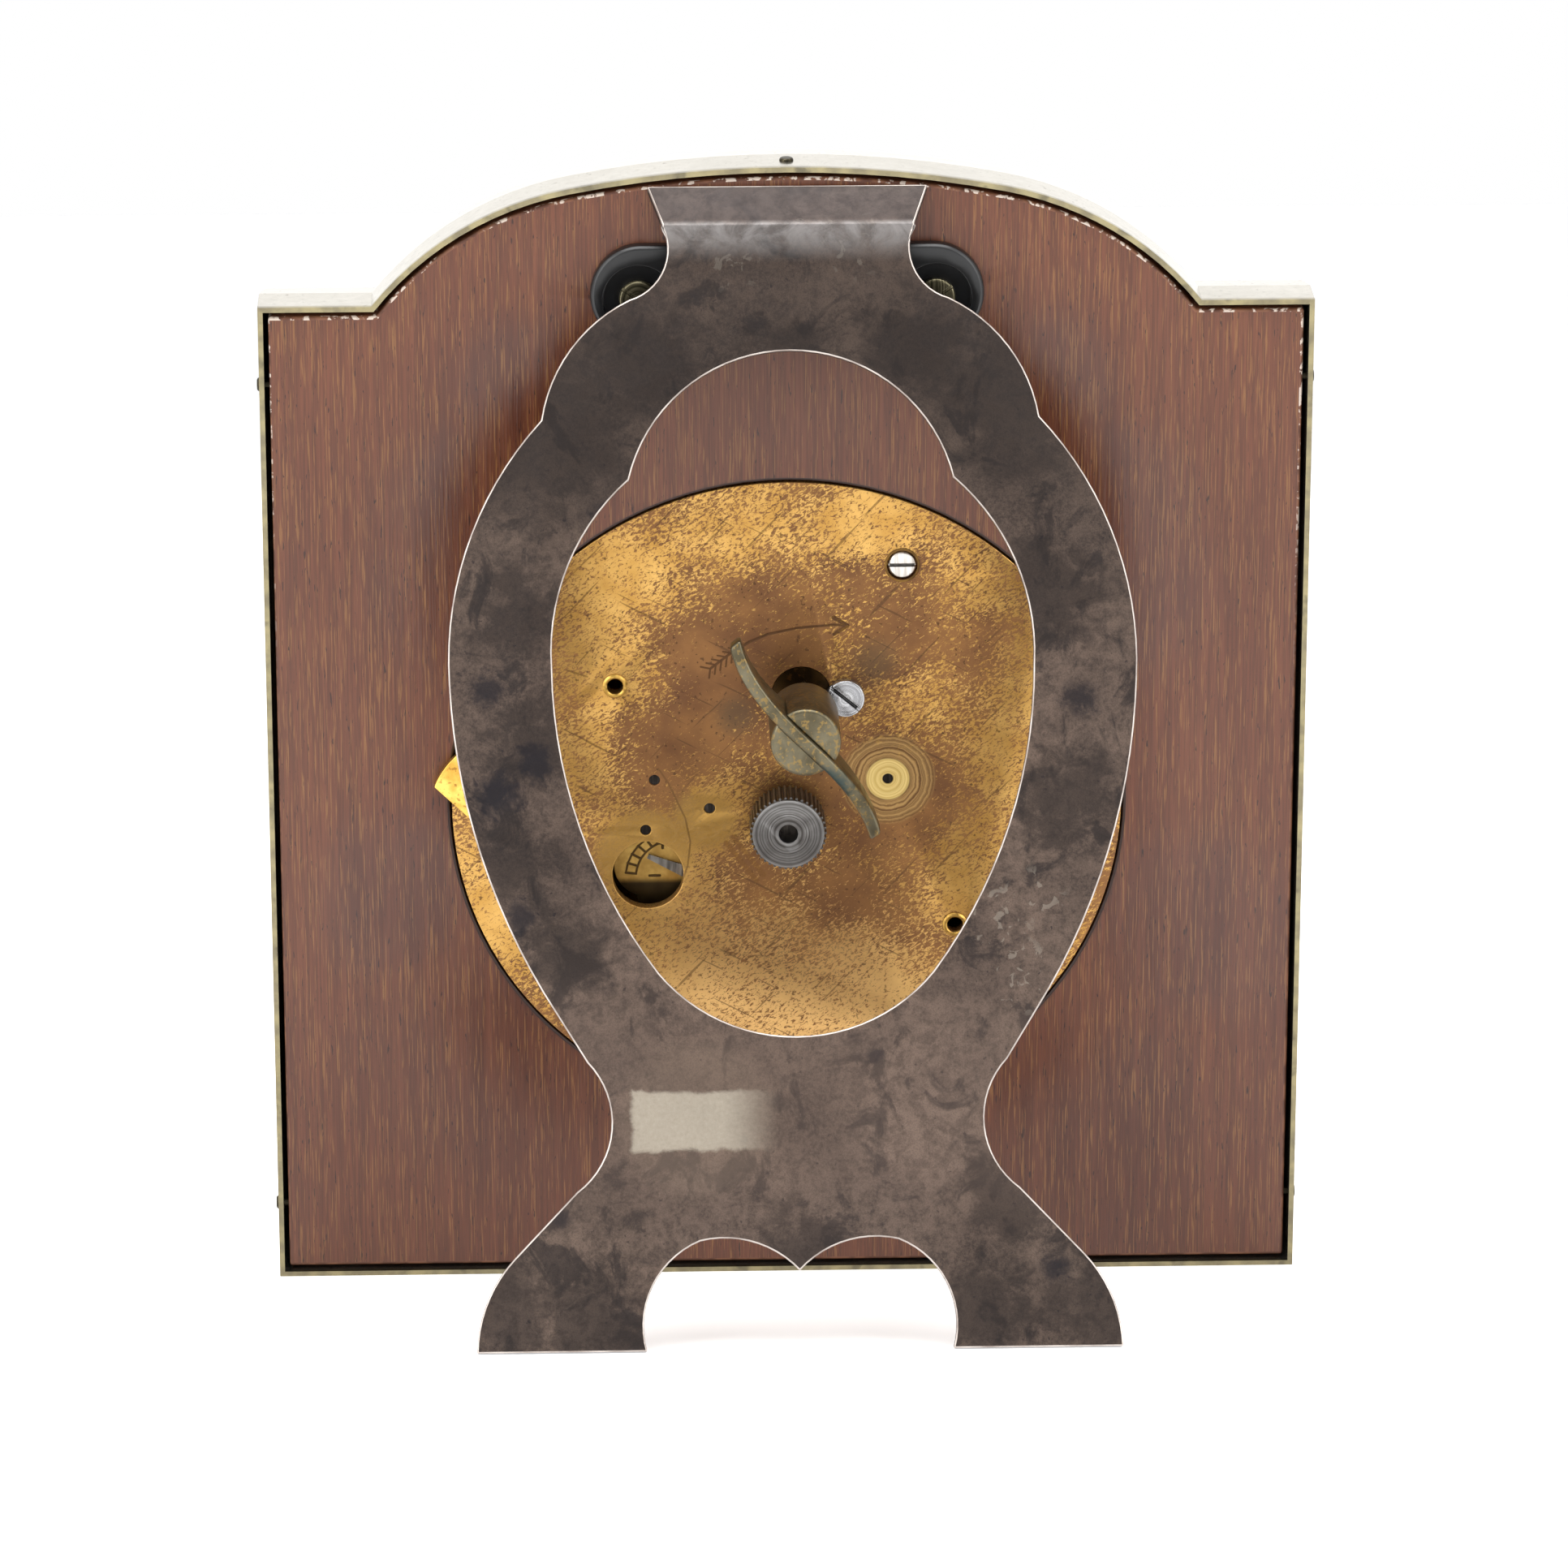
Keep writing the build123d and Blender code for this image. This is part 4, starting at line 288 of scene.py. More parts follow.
def make_stroke_group():
    """Straight engraved stroke between two points of the case's back."""
    group, enter, leave = new_group("Stroke", [
        ("Vector", "Vector", None),
        ("From", "Vector", (0, 0, 0)),
        ("Along", "Vector", (1, 0, 0)),
        ("Width", "Float", 0.1),
    ], ["Mask"])
    along = enter["Along"]
    away = from_centre(group, enter, "From")
    reach = vector_math(group, "DOT_PRODUCT", away, along)
    length_squared = vector_math(group, "DOT_PRODUCT", along, along)
    share = math(group, "DIVIDE", reach, length_squared, clamp=True)
    nearest = add(group, "VectorMath", {0: along, "Scale": share}, operation="SCALE").outputs["Vector"]
    gap = vector_math(group, "DISTANCE", away, nearest)
    half_width = math(group, "MULTIPLY", enter["Width"], 0.5)
    plug(group, leave["Mask"], ramp(group, gap, half_width, enter["Width"], 1.0, 0.0))
    return group


def make_turning_group():
    """Fine lathe rings about an axis along the depth, a little uneven."""
    group, enter, leave = new_group("Turned Rings", [
        ("Vector", "Vector", None),
        ("Centre", "Vector", (0, 0, 0)),
        ("Pitch", "Float", 0.3),
        ("Stir", "Float", 0.2),
    ], ["Rings", "Distance"])
    flat = from_centre(group, enter)
    away = vector_math(group, "LENGTH", flat)
    wear = add(group, "TexNoise", {"Vector": flat, "Scale": 0.8, "Detail": 3.0}).outputs["Fac"]
    turned = math(group, "ADD", away, math(group, "MULTIPLY", wear, enter["Stir"]))
    step = math(group, "DIVIDE", turned, enter["Pitch"])
    noise = add(group, "TexNoise", {"W": step, "Scale": 1.0, "Detail": 4.0}, noise_dimensions="1D")
    plug(group, leave["Rings"], ramp(group, noise.outputs["Fac"], 0.35, 0.65))
    plug(group, leave["Distance"], away)
    return group


BLOTCHES = make_blotch_group()
SPOT = make_spot_group()
STROKE = make_stroke_group()
TURNED_RINGS = make_turning_group()

# Sockets of the Mix node for colours, which share their names with its other kinds
MIX_FACTOR, MIX_FIRST, MIX_SECOND, MIX_RESULT = 0, 6, 7, 2


class Finish:
    """Material under construction, with its main shader and its upright places in millimetres."""

    def __init__(self, name, place=CASE_PLACE):
        self.material = bpy.data.materials.new(name)
        self.material.use_nodes = True
        self.tree = self.material.node_tree
        self.shader = self.tree.nodes["Principled BSDF"]
        lean, shift = place
        self.place = add(self.tree, "Mapping", {
            "Vector": self.tree.nodes.new("ShaderNodeTexCoord").outputs["Object"],
            "Location": (0, shift * cos(lean) / MM, shift * sin(lean) / MM),
            "Rotation": (lean, 0, 0),
            "Scale": (1 / MM, 1 / MM, 1 / MM),
        }).outputs[0]

    def axis(self, letter):
        """Place along one axis of the upright frame: X across, Y out of the back and Z up."""
        return add(self.tree, "SeparateXYZ", {0: self.place}).outputs[letter]

    def blotches(self, scale, threshold=0.5, softness=0.1, spread=(1, 1, 1), detail=6.0, distortion=0.0,
                 crispness=0.5, place=None):
        """Mask and noise of soft-edged patches, drawn out along an axis whose spread is small."""
        return use(self.tree, BLOTCHES, {
            "Vector": place or self.place,
            "Spread": spread,
            "Scale": scale,
            "Detail": detail,
            "Distortion": distortion,
            "Threshold": threshold,
            "Softness": softness,
            "Crispness": crispness,
        })

    def turned_place(self, angle):
        """Upright places turned about the depth, by degrees."""
        turn = {"Vector": self.place, "Rotation": (0, radians(angle), 0)}
        return add(self.tree, "Mapping", turn).outputs[0]

    def spot(self, x, z, radius, softness, raggedness=0.0, noise=0.5):
        return use(self.tree, SPOT, {
            "Vector": self.place,
            "Centre": (x, 0, z),
            "Radius": radius,
            "Softness": softness,
            "Raggedness": raggedness,
            "Noise": noise,
        })

    def spots(self, places, softness_share, raggedness, noise):
        """Several ragged spots, each an (x, z, radius)."""
        return self.most(
            self.spot(x, z, radius, radius * softness_share, raggedness, noise)["Mask"]
            for x, z, radius in places
        )

    def stroke(self, start, end, width):
        return use(self.tree, STROKE, {
            "Vector": self.place,
            "From": (start[0], 0, start[1]),
            "Along": (end[0] - start[0], 0, end[1] - start[1]),
            "Width": width,
        })["Mask"]

    def strokes(self, pairs, width):
        """Several strokes of one width, each a pair of points."""
        return self.most(self.stroke(start, end, width) for start, end in pairs)

    def rings(self, x, z, pitch, stir=0.2):
        return use(self.tree, TURNED_RINGS, {
            "Vector": self.place,
            "Centre": (x, 0, z),
            "Pitch": pitch,
            "Stir": stir,
        })

    def math(self, operation, first, second=0.0):
        return math(self.tree, operation, first, second)

    def ramp(self, value, low, high, start=0.0, end=1.0):
        return ramp(self.tree, value, low, high, start, end)

    def fall(self, value, low, high):
        """One below the low value, falling smoothly to zero at the high one."""
        return self.ramp(value, low, high, 1.0, 0.0)

    def times(self, first, *others):
        """Product of masks and numbers."""
        for other in others:
            first = self.math("MULTIPLY", first, other)
        return first

    def most(self, masks):
        """The strongest of several masks, each joined as it is made."""
        result = None
        for mask in masks:
            result = mask if result is None else self.math("MAXIMUM", result, mask)
        return result

    def mix(self, factor, first, second):
        """Blend of two colours, each a display code or another node's colour."""
        first, second = (linear(colour) if isinstance(colour, str) else colour for colour in (first, second))
        sockets = {MIX_FACTOR: factor, MIX_FIRST: first, MIX_SECOND: second}
        return add(self.tree, "Mix", sockets, data_type="RGBA").outputs[MIX_RESULT]

    def tint(self, colour, mask, strength, other):
        """A colour with another laid over it where the mask is, at this strength."""
        return self.mix(self.times(mask, strength), colour, other)

    def bump(self, height, distance, strength=1.0):
        """Relief of the shader's normals, its depth in millimetres."""
        node = add(self.tree, "Bump", {"Height": height, "Distance": distance * MM, "Strength": strength})
        self.tree.links.new(node.outputs["Normal"], self.shader.inputs["Normal"])

    def set(self, **sockets):
        """Fills the main shader's sockets and gives the finished material."""
        for key, value in sockets.items():
            plug(self.tree, self.shader.inputs[key.replace("_", " ")], value)
        return self.material


# Finishes, wooden back

WOOD = {
    "dark": "5c2f1b", "light": "6a3c26", "red": "4a1f0c", "band": "77452c", "fibre": "43200f",
    "pore": "94683a", "fleck": "250f08", "bore shade": "1f0e08",
}
# Tones of the veneer's edge; the bore tone is painted shade inside the plate's bore
WOOD_EDGE = {"dark": "55301f", "light": "7d5139", "bore": "2a160d", "chip": "e0cfc0"}
# Redder places of the veneer, as (x, height, radius)
WOOD_REDDER = [
    (31, 72, 9), (-31, 72, 9), (31, 80, 8), (-31, 80, 8), (24, 92, 7), (-24, 92, 7), (26, 22, 14),
    (-30, 14, 13), (38, 40, 8), (-40, 36, 9),
]
BORE_SHADE_RADIUS = 33.25
CHIPS_FROM, CHIPS_FULL = 60.0, 96.0


def make_wood():
    """Reddish brown open-pored veneer with fine vertical streaks."""
    finish = Finish("oiled_hardwood")
    broad = finish.blotches(0.09, softness=0.25, spread=(1, 1, 0.25), detail=3.0)
    bands = finish.blotches(0.9, softness=0.22, spread=(1, 1, 0.04), detail=5.0)
    fibre = finish.blotches(5.2, softness=0.2, spread=(1, 1, 0.025), detail=5.0)
    pores = finish.blotches(8.5, 0.61, 0.05, spread=(1, 1, 0.03), detail=2.0)["Mask"]
    flecks = finish.blotches(5.2, 0.695, 0.02, spread=(1, 1, 0.13), detail=2.0, distortion=0.4)["Mask"]
    redder = finish.spots(WOOD_REDDER, 0.7, 7.0, broad["Noise"])
    colour = finish.mix(broad["Mask"], WOOD["dark"], WOOD["light"])
    colour = finish.tint(colour, redder, 0.8, WOOD["red"])
    colour = finish.tint(colour, bands["Mask"], 0.5, WOOD["band"])
    colour = finish.tint(colour, fibre["Mask"], 0.6, WOOD["fibre"])
    colour = finish.tint(colour, pores, 0.5, WOOD["pore"])
    colour = finish.tint(colour, flecks, 0.85, WOOD["fleck"])
    bore = finish.spot(0, PLATE_HEIGHT, BORE_SHADE_RADIUS, 0.45, 0.8, bands["Noise"])["Mask"]
    colour = finish.tint(colour, bore, 0.85, WOOD["bore shade"])
    finish.bump(fibre["Noise"], 0.05, 0.5)
    rough = finish.ramp(redder, 0.0, 0.8, 0.47, 0.3)
    return finish.set(Base_Color=colour, Roughness=rough, Coat_Weight=0.12, Coat_Roughness=0.3)


def make_wood_edge():
    """Rubbed edge of the veneer, with pale frayed chips along the arch and painted shade in the bore."""
    finish = Finish("rubbed_wood_edge")
    chips = finish.blotches(1.5, 0.56, 0.03, detail=4.0, distortion=0.5)["Mask"]
    wear = finish.blotches(0.5, detail=3.0)["Mask"]
    away = finish.spot(0, PLATE_HEIGHT, BORE_SHADE_RADIUS, 0.45)["Distance"]
    outside = finish.ramp(away, BORE_SHADE_RADIUS + 1.5, BORE_SHADE_RADIUS + 3.0)
    high = finish.ramp(finish.axis("Z"), CHIPS_FROM, CHIPS_FULL)
    colour = finish.mix(wear, WOOD_EDGE["dark"], WOOD_EDGE["light"])
    # Painted shade on the edge inside the plate's bore
    colour = finish.mix(outside, WOOD_EDGE["bore"], colour)
    colour = finish.mix(finish.times(chips, high, outside), colour, WOOD_EDGE["chip"])
    return finish.set(Base_Color=colour, Roughness=0.5)


# Finishes, strut

STRUT = {
    "light": "6c5b50", "middle": "4b3e37", "dark": "2d2420", "brown stain": "191517",
    "shaded": "231c1a", "black stain": "15131a", "speck": "171318", "grain": "1f1917",
    "pit": "8b8175", "halo": "7d6c5c", "clean dark": "8f8676", "clean light": "b3ab9c",
    # The next four tones are painted light and shade: shade towards the top, light low down, a highlight
    # along the bend and shade on the lip
    "upper": "1c1614", "lower": "8a7467", "bend": "9a9694", "crest": "2a2321",
    "edge dark": "8d8078", "edge light": "cfc5bd",
}
# Places on the strut, up from its feet, as (x, height, radius)
STRUT_STAINS = [
    (29.1, 62.9, 1.4), (28.0, 52.9, 1.9), (-27.2, 61.6, 1.5), (16.6, 79.0, 2.2), (22.6, 12.8, 1.0),
    (26.2, 41.3, 1.4), (-24.2, 7.7, 1.2), (-13.6, 84.9, 0.9), (5.2, 20.0, 0.5), (-7.4, 28.0, 0.7),
    (24.5, 56.0, 1.6),
]
STRUT_SHADED = [
    (24, 88, 9), (14, 94, 6), (-22, 90, 8), (-12, 95, 5), (26, 70, 4.5), (24.5, 58, 4),
    (-25, 72, 4.5), (27, 46, 4), (-26, 52, 4.5), (22, 38, 4), (29, 4, 6), (19, 3, 5), (-29, 4, 6),
    (-18, 4, 5), (0, 9, 4), (-20, 14, 4), (0, 92, 5),
]
STRUT_PITS = [
    (-19.2, 40.8, 3.2), (-21.1, 35.4, 3.4), (-23.1, 43.1, 2.2), (5.5, 103.6, 2.6),
    (-6.1, 105.1, 3.0), (-1.0, 107.5, 1.2),
]
# The bend under the strut's lip, and the clean patch: sharp on its left and fading to the right
BEND_HEIGHT = 106.8
BEND_REACH = 3.6
CLEAN_PATCH_MIDDLE = 21.9
CLEAN_PATCH_HALF_HEIGHT = 2.8
CLEAN_PATCH_LEFT = 15.6
CLEAN_PATCH_FADE_FROM = 7.6
CLEAN_PATCH_FADE_TO = 1.6
CLEAN_PATCH_RAGGED = 1.6
CLEAN_HALO = (9.5, CLEAN_PATCH_MIDDLE, 7.2)
# Heights over which painted shade darkens the strut upwards, and its band of painted light low down comes and
# goes
TOP_SHADE = (62.0, 98.0)
LOW_PAINTED_LIGHT_COMES = (8.0, 18.0)
LOW_PAINTED_LIGHT_GOES = (26.0, 40.0)


def tarnished_ground(finish):
    """Mottled colour of the tarnished sheet, and the fine and gritty noises it is made of."""
    cloud = finish.blotches(0.07, softness=0.18, detail=5.0, distortion=0.6)["Mask"]
    fine = finish.blotches(0.6, detail=7.0, distortion=0.3, crispness=0.7)
    grit = finish.blotches(2.6, softness=0.12, detail=5.0, crispness=0.7)
    stains = finish.blotches(0.2, 0.57, 0.05, spread=(1, 1, 0.8), detail=8.0, distortion=0.7,
                             crispness=0.68)["Mask"]
    colour = finish.mix(cloud, STRUT["middle"], STRUT["light"])
    colour = finish.tint(colour, fine["Mask"], 0.7, STRUT["dark"])
    colour = finish.tint(colour, grit["Mask"], 0.4, STRUT["light"])
    colour = finish.tint(colour, stains, 0.7, STRUT["brown stain"])
    return colour, fine["Noise"], grit["Noise"]


def stained(finish, colour, fine, rub):
    """Painted shade in dark clouds, and round black stains, specks, grain and pale pitted places."""
    shaded = finish.spots(STRUT_SHADED, 0.5, 16.0, rub)
    stains = finish.most(
        finish.spot(x, z, radius, radius * 0.5, radius * 4.0, fine)["Mask"] for x, z, radius in STRUT_STAINS
    )
    specks = finish.blotches(1.5, 0.69, 0.03, detail=4.0)["Mask"]
    grain = finish.blotches(7.0, 0.54, 0.08, detail=3.0, crispness=0.7)["Mask"]
    pits = finish.blotches(0.75, 0.60, 0.02, detail=5.0, distortion=0.8)["Mask"]
    pitted = finish.most(finish.spot(x, z, radius, 1.2, 3.0, rub)["Mask"] for x, z, radius in STRUT_PITS)
    # Painted shade in dark clouds over the strut
    colour = finish.tint(colour, shaded, 0.68, STRUT["shaded"])
    colour = finish.tint(colour, stains, 0.8, STRUT["black stain"])
    colour = finish.tint(colour, specks, 0.7, STRUT["speck"])
    colour = finish.tint(colour, grain, 0.3, STRUT["grain"])
    return finish.tint(colour, finish.times(pits, pitted), 0.5, STRUT["pit"])


def rubbed_clean(finish, colour, grit, rub):
    """Pale patch where the tarnish is rubbed off, in a faint halo."""
    stir = finish.times(finish.math("SUBTRACT", rub, 0.5), CLEAN_PATCH_RAGGED)
    across = finish.math("ADD", finish.axis("X"), stir)
    off_middle = finish.math("ABSOLUTE", finish.math("SUBTRACT", finish.axis("Z"), CLEAN_PATCH_MIDDLE))
    off_middle = finish.math("ADD", off_middle, stir)
    left = finish.fall(across, CLEAN_PATCH_LEFT - 0.3, CLEAN_PATCH_LEFT + 0.3)
    right = finish.ramp(across, CLEAN_PATCH_FADE_TO, CLEAN_PATCH_FADE_FROM)
    level = finish.fall(off_middle, CLEAN_PATCH_HALF_HEIGHT - 0.3, CLEAN_PATCH_HALF_HEIGHT + 0.2)
    halo = finish.spot(*CLEAN_HALO, 1.6, 2.0, rub)["Mask"]
    colour = finish.tint(colour, halo, 0.2, STRUT["halo"])
    clean = finish.mix(grit, STRUT["clean dark"], STRUT["clean light"])
    return finish.tint(colour, finish.times(left, right, level), 0.92, clean)


def make_strut_silver():
    """Tarnished plate of the strut: grey-brown clouds, dark stains, pits and a rubbed clean patch, with
    painted shade towards its top and on its lip, painted light low down and a painted highlight along the
    bend.
    """
    finish = Finish("tarnished_strut_silver", STRUT_PLACE)
    rub = finish.blotches(0.35, softness=0.3, spread=(0.8, 1, 1), detail=7.0, distortion=0.6,
                          crispness=0.68)["Noise"]
    colour, fine, grit = tarnished_ground(finish)
    colour = stained(finish, colour, fine, rub)
    colour = rubbed_clean(finish, colour, grit, rub)
    height = finish.axis("Z")
    # Painted shade darkening the strut towards its top, and painted light in a band low down
    upper = finish.ramp(height, *TOP_SHADE, 0.0, 0.5)
    lower = finish.times(finish.ramp(height, *LOW_PAINTED_LIGHT_COMES), finish.ramp(height, *LOW_PAINTED_LIGHT_GOES, 0.12, 0.0))
    # Painted highlight along the bend under the lip, and painted shade on the lip above it
    below_bend = finish.ramp(height, BEND_HEIGHT - BEND_REACH, BEND_HEIGHT + 0.1)
    to_bend = finish.fall(height, BEND_HEIGHT + 0.1, BEND_HEIGHT + 0.8)
    bend_highlight_strength = finish.ramp(rub, 0.3, 0.6, 0.3, 0.9)
    crest = finish.ramp(height, BEND_HEIGHT + 0.1, BEND_HEIGHT + 1.0)
    colour = finish.mix(upper, colour, STRUT["upper"])
    colour = finish.mix(lower, colour, STRUT["lower"])
    colour = finish.tint(colour, finish.times(below_bend, to_bend, bend_highlight_strength), 0.8, STRUT["bend"])
    colour = finish.tint(colour, crest, 0.72, STRUT["crest"])
    finish.bump(grit, 0.015, 0.5)
    rough = finish.ramp(fine, 0.3, 0.7, 0.36, 0.52)
    return finish.set(Base_Color=colour, Metallic=0.65, Roughness=rough)


def make_bright_edge():
    """Bright edge of the strut's sheet."""
    finish = Finish("bright_silver_edge", STRUT_PLACE)
    wear = finish.blotches(0.3, 0.45, 0.2)["Mask"]
    colour = finish.mix(wear, STRUT["edge dark"], STRUT["edge light"])
    return finish.set(Base_Color=colour, Metallic=0.4, Roughness=0.3)


# Finishes, silver front

SILVER = {
    "dark": "b3aea3", "light": "c4c0b7", "dull": "9d978a", "scratch": "8f8a80", "speck": "6d6656",
    "foot": "6f6757", "raw dark": "6c634a", "raw light": "918660", "raw stain": "3d3826",
}
BEZEL_RADIUS = 31.5
RAW_EDGE_FROM, RAW_EDGE_FULL = -0.9, -0.15


def make_case_silver():
    """Silver of the front: soft grey, warmer in its recesses and olive along its raw back edge."""
    finish = Finish("case_silver")
    cloud = finish.blotches(0.06, softness=0.3, detail=4.0, distortion=0.3)
    fine = finish.blotches(0.9, 0.52, 0.25, detail=4.0, crispness=0.6)
    scratches = finish.blotches(2.2, 0.66, 0.04, spread=(1, 1, 0.12), detail=2.0)["Mask"]
    specks = finish.blotches(1.3, 0.70, 0.03, detail=3.0)["Mask"]
    colour = finish.mix(cloud["Mask"], SILVER["dark"], SILVER["light"])
    colour = finish.tint(colour, fine["Mask"], 0.3, SILVER["dull"])
    colour = finish.tint(colour, scratches, 0.3, SILVER["scratch"])
    colour = finish.tint(colour, specks, 0.6, SILVER["speck"])
    away = finish.spot(0, DIAL_HEIGHT, BEZEL_RADIUS, 1.0)["Distance"]
    outside = finish.ramp(away, BEZEL_RADIUS - 0.4, BEZEL_RADIUS + 0.3)
    near = finish.fall(away, BEZEL_RADIUS + 0.4, BEZEL_RADIUS + 3.0)
    colour = finish.tint(colour, finish.times(outside, near), 0.45, SILVER["foot"])
    raw_wear = finish.blotches(0.5, softness=0.2, detail=3.0)["Mask"]
    raw_stain = finish.blotches(0.35, 0.63, 0.05, detail=3.0)["Mask"]
    raw = finish.mix(raw_wear, SILVER["raw dark"], SILVER["raw light"])
    raw = finish.tint(raw, raw_stain, 0.6, SILVER["raw stain"])
    back_edge = finish.ramp(finish.axis("Y"), RAW_EDGE_FROM, RAW_EDGE_FULL)
    colour = finish.tint(colour, back_edge, 0.9, raw)
    finish.bump(fine["Noise"], 0.01, 0.4)
    rough = finish.ramp(cloud["Noise"], 0.3, 0.7, 0.18, 0.27)
    return finish.set(Base_Color=colour, Metallic=0.92, Roughness=rough)


# Finishes, movement's plate

BRASS = {
    "gold dark": "b08440", "gold light": "cda25b", "patina dark": "6a4527",
    # The low tone is painted light on the lower plate
    "patina light": "8d6236", "low": "eec184", "speck": "452a16", "hairline": "50341c",
    "grime": "4a4030", "ring dark": "5b3d1d", "ring light": "b8945a", "disc dark": "c9a960",
    "disc light": "e0c67f", "smooth": "a98343", "engraved": "4a2d10", "mark": "7a5226",
    "scratch": "5f421f",
}
# Places on the plate, from its centre: bright and brown lacquer as (x, z, radius)
LACQUER_BRIGHT = [
    (5.5, 29.3, 5.0), (-8.3, 29.5, 4.5), (15.4, 22.7, 5.0), (17.8, 14.1, 5.0), (19.9, 4.4, 5.0),
    (7.4, -0.6, 3.2), (12.8, -6.2, 6.0), (-13.3, 9.9, 4.2), (-3.2, -20.0, 8.0), (3.0, -27.0, 10.0),
    (-8.0, -24.0, 9.0), (12.0, -22.0, 7.0), (-16.4, -9.6, 4.0), (-20.5, 4.8, 4.5),
    (6.6, -19.2, 5.0), (-24.0, 12.0, 5.0), (-19.0, 23.0, 5.0), (27.0, -9.0, 7.0),
]
LACQUER_BROWN = [
    (0.8, 18.0, 6.0), (-11.9, 17.3, 6.0), (-18.2, 14.7, 4.0), (8.7, 7.6, 5.0), (3.0, -7.0, 3.4),
    (-4.8, -8.6, 4.0), (7.1, 14.3, 4.4), (-5.7, 22.5, 3.0), (-11.0, -3.5, 5.0), (14.0, 4.0, 5.0),
    (-2.0, -1.5, 6.0), (0.5, 9.0, 6.0), (-14.5, 6.5, 8.0),
]
# Painted light on the lower plate, as (x, z, radius) from its centre
PLATE_LOW_PAINTED_LIGHT = (0, -22, 14.0)
STREAK_ANGLE = -32
HAIRLINE_ANGLES = (28, -47)
# Grime round two holes, and the smooth grounds of a small pivot and of the regulator's window
GRIME = [(-8.6, 14.5, 2.0, 1.4), (5.0, 9.0, 1.8, 1.2)]
SMOOTH_GROUNDS = [(8.0, -1.8, 3.0, 1.0, 2.5), (14.0, -5.4, 4.6, 0.8, 1.5)]
# Polished sink round a pivot
SINK_PLACE = (-9.9, 2.3)
SINK_RADIUS = 4.7
SINK_DISC_RADIUS = 2.1
# Engraved arrow: shaft points, barbs of the head and feathers
ARROW_SHAFT = [(7.5, 13.9), (5.6, 15.4), (3.7, 16.6), (1.85, 17.4), (-1.0, 18.0), (-4.6, 18.3), (-5.9, 18.2)]
ARROW_BARBS = [(-4.5, 19.05), (-4.6, 17.35)]
FEATHER_STEPS = 7
FEATHER_REACH = 0.7
FEATHER_SLANT = 0.9
SETTING_MARK = [[(6.0, -4.2), (3.0, -8.2)], [(5.3, -3.6), (2.3, -7.6)]]
SCRATCHES = [
    [(12.6, 3.6), (11.6, 2.0), (10.0, -1.6), (9.5, -4.1), (9.8, -6.6), (10.6, -9.0)],
    [(19.5, 13.2), (21.5, 13.9)],
]


def plate_spots(places):
    """Case places of (x, z, radius) spots counted from the plate's centre."""
    return [(*on_plate((x, z)), radius) for x, z, radius in places]


def plate_strokes(paths):
    """Start and end of each stroke along paths of points counted from the plate's centre."""
    placed = [[on_plate(point) for point in path] for path in paths]
    return [pair for path in placed for pair in zip(path, path[1:])]


def feather_paths():
    """Short slanted strokes on both sides of the arrow's tail."""
    tail, neck = ARROW_SHAFT[0], ARROW_SHAFT[2]
    along = Vector((neck[0] - tail[0], neck[1] - tail[1]))
    side = Vector((-along.y, along.x)).normalized()
    back = -along.normalized()
    paths = []
    for step in range(FEATHER_STEPS):
        root = Vector(tail) + along * (step / FEATHER_STEPS)
        for turn in (-1, 1):
            tip = root + (side * turn + back * FEATHER_SLANT) * FEATHER_REACH
            paths.append((tuple(root), tuple(tip)))
    return paths


def lacquered_ground(finish, cloud, streak):
    """Colour of the brass without its marks, with painted light low on the plate, and where the lacquer still
    holds.
    """
    bright = finish.spots(plate_spots(LACQUER_BRIGHT), 0.7, 5.0, cloud)
    brown = finish.spots(plate_spots(LACQUER_BROWN), 0.6, 5.0, cloud)
    balance = finish.times(finish.math("SUBTRACT", bright, brown), 0.07)
    drift = finish.times(finish.math("SUBTRACT", cloud, 0.5), 0.35)
    level = finish.math("ADD", finish.math("ADD", streak, balance), drift)
    lacquer = finish.ramp(level, 0.495, 0.555)
    tone = finish.blotches(0.35, softness=0.3, detail=4.0)
    age = finish.blotches(0.22, softness=0.25, detail=7.0)["Mask"]
    gold = finish.mix(tone["Mask"], BRASS["gold dark"], BRASS["gold light"])
    patina = finish.mix(age, BRASS["patina dark"], BRASS["patina light"])
    colour = finish.mix(lacquer, patina, gold)
    # Painted light brightening the lacquered gold low on the plate
    low = finish.spot(*plate_spots([PLATE_LOW_PAINTED_LIGHT])[0], 7.0)["Mask"]
    colour = finish.tint(colour, finish.times(low, lacquer), 0.5, BRASS["low"])
    specks = finish.blotches(2.4, 0.66, 0.03, detail=4.0)["Mask"]
    colour = finish.tint(colour, specks, 0.7, BRASS["speck"])
    return colour, lacquer, tone["Noise"]


